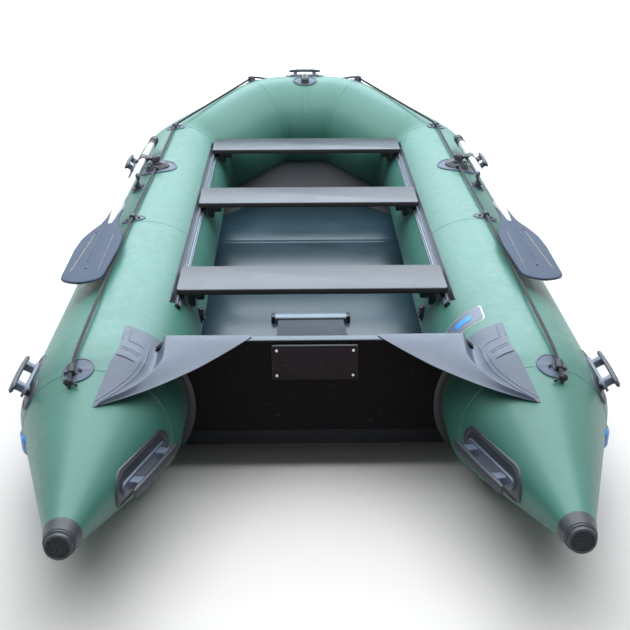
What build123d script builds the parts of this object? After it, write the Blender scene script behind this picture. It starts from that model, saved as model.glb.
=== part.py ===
from build123d import *
import os
from math import asin, atan2, cos, degrees, radians, sin, sqrt, tan

os.makedirs("parts", exist_ok=True)

# ---------------------------------------------------------------------------
# Inflatable boat with a plywood transom, three sliding benches and two oars.
# Millimetres, +Z up, +Y towards the bow, +X starboard, z = 0 on the ground.
# Stations are distances forward of the transom's outer face; y(station) puts
# a station into the frame, whose origin is under the middle of the boat.
# ---------------------------------------------------------------------------
FRAME_STATION = 1080.5       # station of the frame's origin
TUBE_R = 229.5               # radius of the buoyancy tubes
AXIS_X = 607.5               # half-spacing of the side tubes' axes
CONE_STATION = -105.0        # where the side tube becomes the stern cone
CONE_END = (590.0, -700.0, 300.0)
CONE_END_R = 45.0
CORNER = (607.5, 2345.0, 229.5)      # axis corner: side tube to bow quarter
SHOULDER = (187.0, 2690.0, 385.0)    # axis corner: bow quarter to bow tube
BOW_BEND = 262.0             # bend radius of the axis at both corners

TRANSOM_TOP = 438.5
TRANSOM_FOOT = 92.7
TRANSOM_HALF = 424.0         # half width of the top edge
TRANSOM_THICK = 25.0

DECK_TOP = 118.0
DECK_THICK = 22.0
DECK_HALF = 403.0
SKIN_THICK = 6.0

BENCH_TOP = 415.6
BENCH_THICK = 20.0
BENCH_LENGTH = 883.0
BENCH_DEPTH = 200.0
BENCH_STATIONS = {"rear": 417.0, "middle": 1277.0, "front": 2042.0}

RAIL_ANGLE = 52.0            # from the tube's crest, towards the middle
RAIL_WIDTH = 34.0
RAIL_THICK = 11.0
RAIL_START = 350.0
RAIL_END = 2215.0

ROPE_R = 4.5
ROPE_LIFT = 12.0             # rope centre above the tube's skin
DOME_X = 645.0               # oarlock, from the middle plane
DOME_STATION = 1635.0
BOSS_R = 25.0
OAR_OUT = 50.0               # oar shaft's axis, outboard of the swivel
OAR_LIFT = 42.0              # oar shaft's axis, above the tube's skin
OAR_SPREAD = 1.26            # degrees that the stowed oar points outwards
SHAFT_R = 17.0
GRIP_R = 20.0


def y(station):
    return station - FRAME_STATION


def place(point):
    """A (x, station, z) point in the frame."""
    return Vector(point[0], y(point[1]), point[2])


def save(name, builder):
    builder.part.label = name
    export_step(builder.part, f"parts/{name}.step")


def save_pair(name, builder):
    """Writes the starboard piece and its port twin."""
    with BuildPart() as twin:
        mirror(builder.part, about=Plane.YZ)
    save(f"starboard_{name}", builder)
    save(f"port_{name}", twin)


def tube_plane(station, angle):
    """Plane on the starboard side tube's skin, angle from the crest outwards.
    Its x runs forward, its z straight out of the skin."""
    a = radians(angle)
    out = Vector(sin(a), 0, cos(a))
    spot = Vector(AXIS_X, y(station), TUBE_R) + out * TUBE_R
    return Plane(origin=spot, x_dir=(0, 1, 0), z_dir=out)


# --- Buoyancy tubes ---------------------------------------------------------
def port(point):
    return (-point[0], point[1], point[2])


stern = (AXIS_X, CONE_STATION, TUBE_R)
axis_points = [stern, CORNER, SHOULDER, port(SHOULDER), port(CORNER), port(stern)]
axis_points = [place(p) for p in axis_points]
to_bow = (axis_points[2] - axis_points[1]).normalized()

with BuildPart() as hull_loop:
    with BuildLine():
        FilletPolyline(*axis_points, radius=BOW_BEND)
    with BuildSketch(Plane(origin=axis_points[0], z_dir=(0, 1, 0))):
        Circle(TUBE_R)
    sweep()

corner_seam = Plane(origin=axis_points[1], z_dir=Vector(0, 1, 0) + to_bow)
shoulder_seam = Plane(origin=axis_points[2], z_dir=to_bow + Vector(-1, 0, 0))
port_shoulder_seam = Plane(
    origin=axis_points[3], z_dir=(-shoulder_seam.z_dir.X, shoulder_seam.z_dir.Y, shoulder_seam.z_dir.Z)
)

with BuildPart() as side_tube:
    add(hull_loop.part)
    split(bisect_by=Plane.YZ, keep=Keep.TOP)
    split(bisect_by=corner_seam, keep=Keep.BOTTOM)
save_pair("side_tube", side_tube)

with BuildPart() as bow_quarter:
    add(hull_loop.part)
    split(bisect_by=Plane.YZ, keep=Keep.TOP)
    split(bisect_by=corner_seam, keep=Keep.TOP)
    split(bisect_by=shoulder_seam, keep=Keep.BOTTOM)
save_pair("bow_quarter", bow_quarter)

with BuildPart() as bow_tube:
    add(hull_loop.part)
    split(bisect_by=shoulder_seam, keep=Keep.TOP)
    split(bisect_by=port_shoulder_seam, keep=Keep.TOP)
save("bow_tube", bow_tube)

# --- Stern cones and their end caps -----------------------------------------
cone_start = axis_points[0]
cone_end = place(CONE_END)
cone_dir = (cone_end - cone_start).normalized()
cone_length = (cone_end - cone_start).length
cone_plane = Plane(origin=cone_end, x_dir=(0, 0, 1), z_dir=cone_dir)

with BuildPart() as stern_cone:
    with BuildSketch(Plane(origin=cone_start, x_dir=(0, 0, 1), z_dir=(0, -1, 0))):
        Circle(TUBE_R)
    with BuildSketch(cone_plane):
        Circle(CONE_END_R)
    loft(ruled=True)
save_pair("stern_cone", stern_cone)

CAP_BACK = 48.0              # sleeve length over the cone
CAP_TIP = 64.0               # cap length past the cone's end
CAP_PLAY = 0.8               # room for the fabric and the glue
cone_slope = (TUBE_R - CONE_END_R) / cone_length
sleeve_r = CONE_END_R + CAP_BACK * cone_slope
with BuildPart() as cone_cap:
    with BuildSketch(Plane(origin=cone_end, x_dir=cone_plane.x_dir, z_dir=cone_plane.y_dir * -1)):
        Polygon(
            (0, CAP_PLAY),
            (CONE_END_R + CAP_PLAY, CAP_PLAY),
            (sleeve_r + CAP_PLAY, -CAP_BACK),
            (sleeve_r + 5, -CAP_BACK),
            (CONE_END_R + 7, 2),
            (CONE_END_R - 4, 8),
            (36, CAP_TIP - 12),
            (33, CAP_TIP),
            (0, CAP_TIP),
            align=None,
        )
    revolve(axis=Axis(cone_end, cone_dir))
with BuildPart() as cone_caps:
    add(cone_cap.part)
    mirror(cone_cap.part, about=Plane.YZ)
save("cone_caps", cone_caps)

# --- Bottom skin and deck ---------------------------------------------------
# station, half width, edge height, keel height; the edges end inside the tubes
SKIN_SECTIONS = [
    (2, 550, 86.5, 84.0),
    (900, 550, 70.0, 24.0),
    (2080, 560, 70.0, 36.0),
    (2690, 175, 262.0, 258.0),
]


def skin_section(station, half, edge, keel):
    with BuildSketch(Plane(origin=(0, y(station), 0), x_dir=(1, 0, 0), z_dir=(0, -1, 0))) as section:
        Polygon(
            (-half, edge),
            (0, keel),
            (half, edge),
            (half, edge + SKIN_THICK),
            (0, keel + SKIN_THICK),
            (-half, edge + SKIN_THICK),
            align=None,
        )
    return section.sketch


with BuildPart() as bottom_skin:
    for first, last in zip(SKIN_SECTIONS, SKIN_SECTIONS[1:]):
        loft([skin_section(*first), skin_section(*last)], ruled=True)
    add(hull_loop.part, mode=Mode.SUBTRACT)
save("bottom_skin", bottom_skin)

with BuildPart() as floor_deck:
    with BuildSketch(Plane.XY.offset(DECK_TOP - DECK_THICK)):
        with BuildLine():
            Polyline(
                (-DECK_HALF, y(TRANSOM_THICK + 12)),
                (DECK_HALF, y(TRANSOM_THICK + 12)),
                (DECK_HALF, y(1960)),
                (250, y(2150)),
                (-250, y(2150)),
                (-DECK_HALF, y(1960)),
                close=True,
            )
        make_face()
    extrude(amount=DECK_THICK)
save("floor_deck", floor_deck)

# --- Transom ----------------------------------------------------------------
def side_view(station):
    """Plane across the boat, looking aft: x to starboard, y up."""
    return Plane(origin=(0, y(station), 0), x_dir=(1, 0, 0), z_dir=(0, -1, 0))


TRANSOM_SIDE = 470.0         # half width before the tubes cut it
with BuildPart() as transom_board:
    with BuildSketch(side_view(0)):
        Polygon(
            (-TRANSOM_HALF, TRANSOM_TOP),
            (TRANSOM_HALF, TRANSOM_TOP),
            (TRANSOM_SIDE, TRANSOM_TOP - 40),
            (TRANSOM_SIDE, TRANSOM_FOOT),
            (-TRANSOM_SIDE, TRANSOM_FOOT),
            (-TRANSOM_SIDE, TRANSOM_TOP - 40),
            align=None,
        )
    extrude(amount=-TRANSOM_THICK)
    add(hull_loop.part, mode=Mode.SUBTRACT)
save("transom_board", transom_board)

STRIP_THICK = 1.5            # the edge strip glued over the board's top edge
STRIP_DROP = 2.0
with BuildPart() as transom_cap:
    with BuildSketch(Plane.YZ.offset(-TRANSOM_HALF)):
        with Locations((y(TRANSOM_THICK / 2), TRANSOM_TOP + STRIP_THICK)):
            Rectangle(
                TRANSOM_THICK + 2 * STRIP_THICK,
                STRIP_DROP + STRIP_THICK,
                align=(Align.CENTER, Align.MAX),
            )
        with Locations((y(TRANSOM_THICK / 2), TRANSOM_TOP)):
            Rectangle(TRANSOM_THICK, STRIP_DROP, align=(Align.CENTER, Align.MAX), mode=Mode.SUBTRACT)
    extrude(amount=2 * TRANSOM_HALF)
save("transom_cap", transom_cap)

PLATE_HALF = 124.0
PLATE_BOTTOM = 315.0
PLATE_TOP = 425.0
PLATE_THICK = 9.0
with BuildPart() as outer_motor_plate:
    with BuildSketch(side_view(0)):
        with Locations((0, (PLATE_BOTTOM + PLATE_TOP) / 2)):
            RectangleRounded(2 * PLATE_HALF, PLATE_TOP - PLATE_BOTTOM, 6)
    extrude(amount=PLATE_THICK)
save("outer_motor_plate", outer_motor_plate)

# Knee board: slopes from the transom's inner face down to the deck.
KNEE_HALF = 120.0
KNEE_THICK = 15.0
KNEE_TOP = 325.0
KNEE_END = 780.0
with BuildPart() as knee_board:
    with BuildSketch(Plane.YZ.offset(-KNEE_HALF)):
        Polygon(
            (y(TRANSOM_THICK), KNEE_TOP),
            (y(TRANSOM_THICK), KNEE_TOP - KNEE_THICK),
            (y(KNEE_END), DECK_TOP),
            (y(KNEE_END), DECK_TOP + KNEE_THICK),
            align=None,
        )
    extrude(amount=2 * KNEE_HALF)
save("knee_board", knee_board)

with BuildPart() as knee_channel:
    with BuildSketch(Plane.YZ.offset(-KNEE_HALF - 25)):
        with Locations((y(KNEE_END + 1), DECK_TOP)):
            Rectangle(34, 26, align=(Align.MIN, Align.MIN))
    extrude(amount=2 * KNEE_HALF + 50)
    chamfer(knee_channel.edges().filter_by(Axis.X).group_by(Axis.Z)[-1], 6)
save("knee_channel", knee_channel)

# --- Splash skirts: a sheet from the transom's top to a patch on each tube --
SKIRT_THICK = 4.0
SKIRT_GAP = 0.5
SKIRT_SLOPE = 4.6            # degrees that the sheet drops towards the stern
SKIRT_FRONT = 78.0           # station of the patch's front edge


def grown_tube(gap):
    """The starboard stern cone and the tube's first stretch, grown by gap."""
    with BuildPart() as form:
        with BuildSketch(side_view(CONE_STATION)):
            with Locations((AXIS_X, TUBE_R)):
                Circle(TUBE_R + gap)
        extrude(amount=CONE_STATION - SKIRT_FRONT - 30)
        with BuildSketch(side_view(CONE_STATION)):
            with Locations((AXIS_X, TUBE_R)):
                Circle(TUBE_R + gap)
        with BuildSketch(cone_plane):
            Circle(CONE_END_R + gap)
        loft(ruled=True)
    return form.part


sheet_plane = Plane(
    origin=(0, y(0), TRANSOM_TOP + STRIP_THICK + SKIRT_GAP),
    x_dir=(1, 0, 0),
    z_dir=(0, -sin(radians(SKIRT_SLOPE)), cos(radians(SKIRT_SLOPE))),
)
with BuildPart() as splash_skirt:
    add(grown_tube(SKIRT_GAP + SKIRT_THICK))
    with BuildSketch(Plane.XY.offset(TUBE_R)):
        Polygon(
            (446, y(SKIRT_FRONT)),
            (552, y(SKIRT_FRONT)),
            (552, y(-60)),
            (573, y(-263)),
            (584, y(-334)),
            (536, y(-270)),
            (490, y(-110)),
            (446, y(-60)),
            align=None,
        )
    extrude(amount=300, mode=Mode.INTERSECT)
    with BuildSketch(sheet_plane):
        Polygon(
            (173, TRANSOM_THICK + STRIP_THICK),
            (TRANSOM_HALF, TRANSOM_THICK + STRIP_THICK),
            (530, 40),
            (530, -120),
            (575, -336),
            (442, -239),
            (318, -130),
            (197, -6),
            align=None,
        )
    extrude(amount=SKIRT_THICK)
    add(grown_tube(SKIRT_GAP), mode=Mode.SUBTRACT)
    add(transom_board.part, mode=Mode.SUBTRACT)
save_pair("splash_skirt", splash_skirt)

# --- Seat rails, benches and their sliding clamps ---------------------------
with BuildPart() as seat_rail:
    with BuildSketch(tube_plane(RAIL_START, -RAIL_ANGLE)) as rail_foot:
        with Locations(((RAIL_END - RAIL_START) / 2, 0)):
            Rectangle(RAIL_END - RAIL_START, RAIL_WIDTH)
    extrude(amount=RAIL_THICK)
    extrude(rail_foot.sketch, amount=-4)
    chamfer(seat_rail.edges().filter_by(Axis.Y).group_by(Axis.Z)[-1], 1.5)
    add(side_tube.part, mode=Mode.SUBTRACT)
save_pair("seat_rail", seat_rail)

CLAMP_INNER = 348.0
CLAMP_OUTER = 405.0
CLAMP_LENGTH = 46.0
CLAMP_BOTTOM = 352.0
for name, station in BENCH_STATIONS.items():
    middle = y(station + BENCH_DEPTH / 2)
    with BuildPart() as board:
        with BuildSketch(Plane.XY.offset(BENCH_TOP - BENCH_THICK)):
            with Locations((0, middle)):
                RectangleRounded(BENCH_LENGTH, BENCH_DEPTH, 10)
        extrude(amount=BENCH_THICK)
        chamfer(board.faces().group_by(Axis.Z)[-1].edges(), 2)
    save(f"{name}_bench_board", board)

    with BuildPart() as clamps:
        for side in (-1, 1):
            for end in (-1, 1):
                with BuildSketch(Plane.XZ.offset(-middle - end * (BENCH_DEPTH / 2 - 30) - CLAMP_LENGTH / 2)):
                    Polygon(
                        (side * CLAMP_INNER, BENCH_TOP - BENCH_THICK),
                        (side * CLAMP_OUTER, BENCH_TOP - BENCH_THICK),
                        (side * CLAMP_OUTER, CLAMP_BOTTOM + 10),
                        (side * (CLAMP_OUTER - 10), CLAMP_BOTTOM),
                        (side * (CLAMP_OUTER - 24), CLAMP_BOTTOM),
                        (side * (CLAMP_OUTER - 24), BENCH_TOP - BENCH_THICK - 8),
                        (side * CLAMP_INNER, BENCH_TOP - BENCH_THICK - 5),
                        align=None,
                    )
                extrude(amount=CLAMP_LENGTH)
    save(f"{name}_bench_clamps", clamps)

# --- Rubbing strakes: stern to the bow's middle, swept along the tubes ------
STRAKE_WIDTH = 62.0
STRAKE_THICK = 9.0
STRAKE_ANGLE = 102.0         # from the crest outwards, so just under the widest line
half_arc = degrees(STRAKE_WIDTH / 2 / TUBE_R)
middle_point = place((0, SHOULDER[1], SHOULDER[2]))
with BuildPart() as rub_strake:
    with BuildLine():
        FilletPolyline(*axis_points[:3], middle_point, radius=BOW_BEND)
    with BuildSketch(Plane(origin=axis_points[0], x_dir=(1, 0, 0), z_dir=(0, -1, 0))):
        with BuildLine():
            start = 90 - STRAKE_ANGLE - half_arc
            inner = CenterArc((0, 0), TUBE_R, start, 2 * half_arc)
            outer = CenterArc((0, 0), TUBE_R + STRAKE_THICK, start, 2 * half_arc)
            Line(inner @ 0, outer @ 0)
            Line(inner @ 1, outer @ 1)
        make_face()
    sweep()
save_pair("rub_strake", rub_strake)

# --- Lifeline: stern knot, round the bow, to the other stern knot -----------

def on_side(x, station):
    """A rope point over the side tube, or over the cone aft of it."""
    t = max(0, (CONE_STATION - station) / (CONE_STATION - CONE_END[1]))
    axis_x = AXIS_X + (CONE_END[0] - AXIS_X) * t
    axis_z = TUBE_R + (CONE_END[2] - TUBE_R) * t
    reach = TUBE_R + (CONE_END_R - TUBE_R) * t + ROPE_LIFT
    return (x, station, axis_z + sqrt(reach**2 - (x - axis_x) ** 2))


rope_half = [
    on_side(655, -238),
    on_side(659, -112),
    on_side(661, 985),
    on_side(DOME_X, DOME_STATION),
    (638, 2292, 471),
    (270, 2737, 607),
    (128, 2858, 562),
]
rope_points = rope_half + [(0, 2909, 492)] + [port(p) for p in reversed(rope_half)]
rope_points = [place(p) for p in rope_points]
KNOT_R = 11.0
ROPE_BEND = 400.0            # largest bend radius where a fairlead turns the rope


def rope_radius(before, at, after):
    """Bend radius at one point: as large as its runs allow, within ROPE_BEND."""
    turn = radians((at - before).get_angle(after - at))
    run = min((at - before).length, (after - at).length)
    return min(ROPE_BEND, 0.45 * run / tan(turn / 2))


rope_radii = [rope_radius(*three) for three in zip(rope_points, rope_points[1:], rope_points[2:])]
print("lifeline bend radii:", [round(r) for r in rope_radii])


def rope_sweep(radius):
    with BuildPart() as rope:
        with BuildLine() as route:
            FilletPolyline(*rope_points, radius=rope_radii)
        with BuildSketch(Plane(origin=rope_points[0], z_dir=rope_points[1] - rope_points[0])):
            Circle(radius)
        sweep()
    if radius == ROPE_R:
        print("lifeline length:", round(sum(edge.length for edge in route.line.edges())), "volume:", round(rope.part.volume))
    return rope.part


rope_core = rope_sweep(ROPE_R)
rope_hole = rope_sweep(ROPE_R + 0.8)
with BuildPart() as lifeline:
    add(rope_core)
    for end in (rope_points[0], rope_points[-1]):
        with Locations(end - Vector(0, 3, 0)):
            Sphere(KNOT_R)
save("lifeline", lifeline)

# --- Fairleads --------------------------------------------------------------
EYE_LENGTH = 26.0
EYE_WIDTH = 30.0
EYE_HEIGHT = 24.0


def eye_plane(point, centre, along):
    """Plane on the skin under a rope point; z out of the skin, x along the rope."""
    out = point - centre
    out = (out - along * out.dot(along)).normalized()
    return Plane(origin=point - out * ROPE_LIFT, x_dir=along, z_dir=out)


def rope_eye(plane, pad_along, pad_across):
    """An oval pad with a raised eye on it, whose hole is cut by the rope."""
    with BuildPart() as eye:
        with BuildSketch(plane.offset(-14)):
            Ellipse(pad_along / 2, pad_across / 2)
        extrude(amount=14 + 4)
        with BuildSketch(Plane(origin=plane.origin, x_dir=plane.y_dir, z_dir=plane.x_dir)):
            with Locations((0, 1)):
                Rectangle(EYE_WIDTH, EYE_HEIGHT - 11, align=(Align.CENTER, Align.MIN))
            with Locations((0, EYE_HEIGHT - 12)):
                Circle(EYE_WIDTH / 2 - 3)
        extrude(amount=EYE_LENGTH / 2, both=True)
    return eye.part


forward = Vector(0, 1, 0)
athwart = Vector(1, 0, 0)
side_axis = axis_points[0]
stern_run = (rope_points[1] - rope_points[0]).normalized()
quarter_run = (rope_points[5] - rope_points[4]).normalized()
eye_spots = [
    (rope_points[0] + stern_run * 48, side_axis, stern_run, 76, 70),
    (rope_points[2], side_axis, forward, 60, 92),
    (rope_points[4] - forward * 14, side_axis, forward, 60, 92),
    (rope_points[5] - quarter_run * 16, axis_points[2], quarter_run, 60, 84),
]
with BuildPart() as side_eyes:
    for point, centre, along, pad_along, pad_across in eye_spots:
        add(rope_eye(eye_plane(point, centre, along), pad_along, pad_across))
    add(stern_cone.part, mode=Mode.SUBTRACT)
with BuildPart() as fairleads:
    add(side_eyes.part)
    mirror(side_eyes.part, about=Plane.YZ)
    add(hull_loop.part, mode=Mode.SUBTRACT)
    add(rope_hole, mode=Mode.SUBTRACT)
save("fairleads", fairleads)

bow_axis = place((0, SHOULDER[1], SHOULDER[2]))
with BuildPart() as bow_eye:
    add(rope_eye(eye_plane(rope_points[7], bow_axis, athwart), 70, 120))
    add(bow_tube.part, mode=Mode.SUBTRACT)
    add(rope_hole, mode=Mode.SUBTRACT)
save("bow_eye", bow_eye)


def bow_plane(angle):
    """Plane on the bow tube's skin at the middle; angle from the crest forwards."""
    a = radians(angle)
    out = Vector(0, sin(a), cos(a))
    return Plane(origin=bow_axis + out * TUBE_R, x_dir=(1, 0, 0), z_dir=out)


# --- Tow ring: patch and ring under the bow's nose --------------------------
ring_plane = bow_plane(140)
RING_R = 26.0
RING_WIRE_R = 4.0
with BuildPart() as tow_ring:
    with BuildSketch(ring_plane.offset(-14)):
        Circle(62)
    extrude(amount=14 + 4)
    with BuildSketch(ring_plane.offset(2)):
        RectangleRounded(64, 34, 8)
    extrude(amount=10)
    add(bow_tube.part, mode=Mode.SUBTRACT)
    ring_disc = Plane(origin=ring_plane.origin + ring_plane.z_dir * 32, x_dir=ring_plane.x_dir,
                      z_dir=ring_plane.y_dir)
    with Locations(ring_disc):
        Torus(RING_R, RING_WIRE_R)
save("tow_ring", tow_ring)

# --- Handles: a pad and an arched grip --------------------------------------
def handle(plane, pad_long, pad_wide, rise):
    """A carry handle along the plane's x, standing out along its z."""
    with BuildPart() as piece:
        with BuildSketch(plane.offset(-20)):
            SlotOverall(pad_long, pad_wide)
        extrude(amount=20 + 6)
        with BuildSketch(Plane(origin=plane.origin, x_dir=plane.x_dir, z_dir=plane.y_dir * -1)) as arch:
            Polygon(
                (-pad_long / 2 + 22, 0),
                (-pad_long / 2 + 40, rise),
                (pad_long / 2 - 40, rise),
                (pad_long / 2 - 22, 0),
                align=None,
            )
            Polygon(
                (-pad_long / 2 + 46, 5),
                (-pad_long / 2 + 56, rise - 14),
                (pad_long / 2 - 56, rise - 14),
                (pad_long / 2 - 46, 5),
                align=None,
                mode=Mode.SUBTRACT,
            )
        extrude(amount=14, both=True)
    return piece.part


HANDLE_RISE = 48.0
flank = tube_plane(-70, 57)
bow_flank = tube_plane(1915, 50)
cone_up = Vector(0, 0, 1)
cone_in = (cone_dir.cross(cone_up)).normalized()
if cone_in.X > 0:
    cone_in = cone_in * -1
cone_mid = cone_start + cone_dir * (cone_length * 0.46)
cone_r = TUBE_R - cone_slope * cone_length * 0.46
lean = degrees(atan2(TUBE_R - CONE_END_R, cone_length))
face_out = cone_in * cos(radians(lean)) + cone_dir * sin(radians(lean))
face_along = cone_dir * cos(radians(lean)) - cone_in * sin(radians(lean))
cone_face = Plane(origin=cone_mid + cone_in * cone_r, x_dir=face_along, z_dir=face_out)
with BuildPart() as handles:
    add(handle(flank, 230, 92, HANDLE_RISE))
    add(handle(bow_flank, 210, 80, HANDLE_RISE))
    add(handle(cone_face, 330, 104, HANDLE_RISE + 4))
    add(side_tube.part, mode=Mode.SUBTRACT)
    add(stern_cone.part, mode=Mode.SUBTRACT)
save_pair("handles", handles)

with BuildPart() as bow_handle:
    add(handle(bow_plane(8), 220, 84, 44))
    add(bow_tube.part, mode=Mode.SUBTRACT)
save("bow_handle", bow_handle)

# --- Oarlocks: a moulded dome and the swivel boss on it ---------------------
dome_angle = degrees(asin((DOME_X - AXIS_X) / TUBE_R))
dome = tube_plane(DOME_STATION, dome_angle)
swivel = Axis(dome.origin, dome.z_dir)
BOSS_TOP = 54.0
SWIVEL_BOTTOM = 34.0
SWIVEL_TOP = 50.0
with BuildPart() as oarlock:
    with BuildSketch(dome.offset(-24)):
        Ellipse(88, 84)
    extrude(amount=24 + 5)
    with BuildSketch(dome.offset(4)) as dome_foot:
        Circle(48)
    extrude(amount=15, taper=25)
    with BuildSketch(dome.offset(4)):
        Circle(BOSS_R)
    extrude(amount=BOSS_TOP - 4)
    add(side_tube.part, mode=Mode.SUBTRACT)
    add(rope_hole, mode=Mode.SUBTRACT)
save_pair("oarlock", oarlock)

# --- Oars, stowed along the tubes, on pins that swing with the swivel -------
spread = radians(OAR_SPREAD)
aft = Vector(0, -1, 0) * cos(spread) + dome.y_dir * -sin(spread)
pin_spot = dome.origin + dome.z_dir * OAR_LIFT - dome.y_dir * OAR_OUT
shaft_plane = Plane(origin=pin_spot, x_dir=dome.y_dir * -1, z_dir=aft)
SHAFT_FRONT = -225.0         # distances aft of the pin
GRIP_FRONT = -330.0
NECK = 590.0
BLADE_START = 640.0
BLADE_END = 1320.0
BLADE_ROLL = 6.3
PIN_R = 5.0
PIN_END = 34.0
with BuildPart() as oar_pin:
    with BuildSketch(dome.offset(SWIVEL_BOTTOM)):
        Circle(BOSS_R + 4.5)
        Circle(BOSS_R + 0.4, mode=Mode.SUBTRACT)
    extrude(amount=SWIVEL_TOP - SWIVEL_BOTTOM)
    pin_plane = Plane(origin=dome.origin + dome.z_dir * OAR_LIFT, x_dir=(0, 1, 0), z_dir=dome.y_dir * -1)
    with BuildSketch(pin_plane.offset(BOSS_R + 2)):
        Circle(PIN_R)
    extrude(amount=OAR_OUT + PIN_END - BOSS_R - 2)
    with Locations(pin_spot - dome.y_dir * PIN_END):
        Sphere(9)
save_pair("oar_pin", oar_pin)

with BuildPart() as oar_shaft:
    with BuildSketch(shaft_plane.offset(SHAFT_FRONT)):
        Circle(SHAFT_R)
    extrude(amount=NECK - SHAFT_FRONT)
    add(oar_pin.part, mode=Mode.SUBTRACT)
save_pair("oar_shaft", oar_shaft)

with BuildPart() as oar_grip:
    with BuildSketch(shaft_plane.offset(GRIP_FRONT)):
        Circle(GRIP_R)
    extrude(amount=SHAFT_FRONT - GRIP_FRONT)
    fillet(oar_grip.edges().filter_by(GeomType.CIRCLE).sort_by(Axis.Y)[-1], 12)
save_pair("oar_grip", oar_grip)

blade_side = dome.y_dir * -1
blade_face = Plane(origin=pin_spot, x_dir=aft, z_dir=dome.z_dir.rotate(Axis((0, 0, 0), aft), BLADE_ROLL))
with BuildPart() as oar_blade:
    with BuildSketch(shaft_plane.offset(NECK)):
        Circle(GRIP_R + 1)
    with BuildSketch(shaft_plane.offset(BLADE_START + 110)):
        Circle(9)
    loft()
    with BuildSketch(blade_face.offset(-4)) as outline:
        with BuildLine():
            Polyline(
                (BLADE_START, 16),
                (BLADE_START + 70, 28),
                (BLADE_START + 220, 78),
                (BLADE_END - 70, 82),
                (BLADE_END - 10, 40),
                (BLADE_END, -30),
                (BLADE_END - 30, -80),
                (BLADE_START + 220, -78),
                (BLADE_START + 70, -28),
                (BLADE_START, -16),
                close=True,
            )
        make_face()
    extrude(amount=8)
    spine = Plane(origin=pin_spot + aft * (BLADE_START + 100), x_dir=shaft_plane.x_dir, z_dir=aft)
    with BuildSketch(spine):
        Circle(9)
    extrude(amount=430)
save_pair("oar_blade", oar_blade)

# --- Oar clips on the tubes -------------------------------------------------
CLIP_AFT = 255.0
clip_centre = pin_spot + aft * CLIP_AFT
clip_station = clip_centre.Y + FRAME_STATION
clip_angle = degrees(atan2(clip_centre.X - AXIS_X, clip_centre.Z - TUBE_R))
clip_plane = tube_plane(clip_station, clip_angle)
with BuildPart() as clip:
    with BuildSketch(clip_plane.offset(-16)):
        Ellipse(42, 34)
    extrude(amount=16 + 4)
    with BuildSketch(clip_plane.offset(2)):
        Rectangle(26, 44)
    extrude(amount=34)
    with BuildSketch(shaft_plane.offset(CLIP_AFT - 40)):
        Circle(SHAFT_R + 0.6)
    extrude(amount=80, mode=Mode.SUBTRACT)
    add(side_tube.part, mode=Mode.SUBTRACT)
with BuildPart() as oar_clips:
    add(clip.part)
    mirror(clip.part, about=Plane.YZ)
save("oar_clips", oar_clips)

# --- Air valves on the tubes' inner faces -----------------------------------
valve_planes = [tube_plane(560, -82), bow_plane(-96)]
with BuildPart() as valves:
    for plane in valve_planes:
        with BuildSketch(plane.offset(-10)):
            Circle(30)
        extrude(amount=10 + 4)
        with BuildSketch(plane.offset(3)):
            Circle(22)
        extrude(amount=9, taper=10)
    mirror(about=Plane.YZ)
    add(hull_loop.part, mode=Mode.SUBTRACT)
save("air_valves", valves)

whole = [p for p in (side_tube, bow_tube, cone_caps, rub_strake)]
low = min(p.part.bounding_box().min.Y for p in whole)
high = max(p.part.bounding_box().max.Y for p in whole)
print("length:", round(high - low, 2), "middle is off by", round((high + low) / 2, 3))
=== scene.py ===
from math import asin, atan2, cos, hypot, pi, radians, sin, sqrt, tan

import bmesh
import bpy
from mathutils import Matrix, Vector
from mathutils.bvhtree import BVHTree


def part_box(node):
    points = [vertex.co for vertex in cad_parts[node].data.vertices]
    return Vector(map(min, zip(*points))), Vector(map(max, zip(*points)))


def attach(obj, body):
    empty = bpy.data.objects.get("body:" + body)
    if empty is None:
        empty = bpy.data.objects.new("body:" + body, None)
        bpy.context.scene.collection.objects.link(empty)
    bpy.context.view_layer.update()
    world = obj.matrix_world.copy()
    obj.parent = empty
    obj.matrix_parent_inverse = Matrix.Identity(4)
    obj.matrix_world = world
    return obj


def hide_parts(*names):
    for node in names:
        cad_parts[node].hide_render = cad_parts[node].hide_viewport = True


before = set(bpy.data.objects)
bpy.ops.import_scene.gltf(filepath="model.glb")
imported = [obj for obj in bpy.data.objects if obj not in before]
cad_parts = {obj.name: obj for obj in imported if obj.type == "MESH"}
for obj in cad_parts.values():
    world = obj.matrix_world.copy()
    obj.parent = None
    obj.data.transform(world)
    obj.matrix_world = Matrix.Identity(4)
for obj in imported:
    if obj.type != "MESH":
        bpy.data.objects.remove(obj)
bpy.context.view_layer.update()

bl_info = {
    "name": "Inflatable Boat",
    "version": (1, 0, 0),
    "blender": (4, 5, 0),
    "location": "View3D > Sidebar > Boat",
    "description": "Builds an inflatable boat with sliding benches and stowed oars, piece by piece",
    "category": "Object",
}

# ---------------------------------------------------------------------------
# Sizes, in metres, from the frame. +Y is the bow, +X starboard. A station is
# a distance forward of the transom's outer face.
# ---------------------------------------------------------------------------
cone_low, cone_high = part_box("starboard_stern_cone")
board_low, board_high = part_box("transom_board")
TUBE_R = (cone_high.z - cone_low.z) / 2
AXIS_X = (cone_high.x + cone_low.x) / 2
CONE_Y = cone_high.y
TRANSOM_Y = board_low.y
TRANSOM_THICK = board_high.y - board_low.y


def y(station):
    return TRANSOM_Y + station


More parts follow.
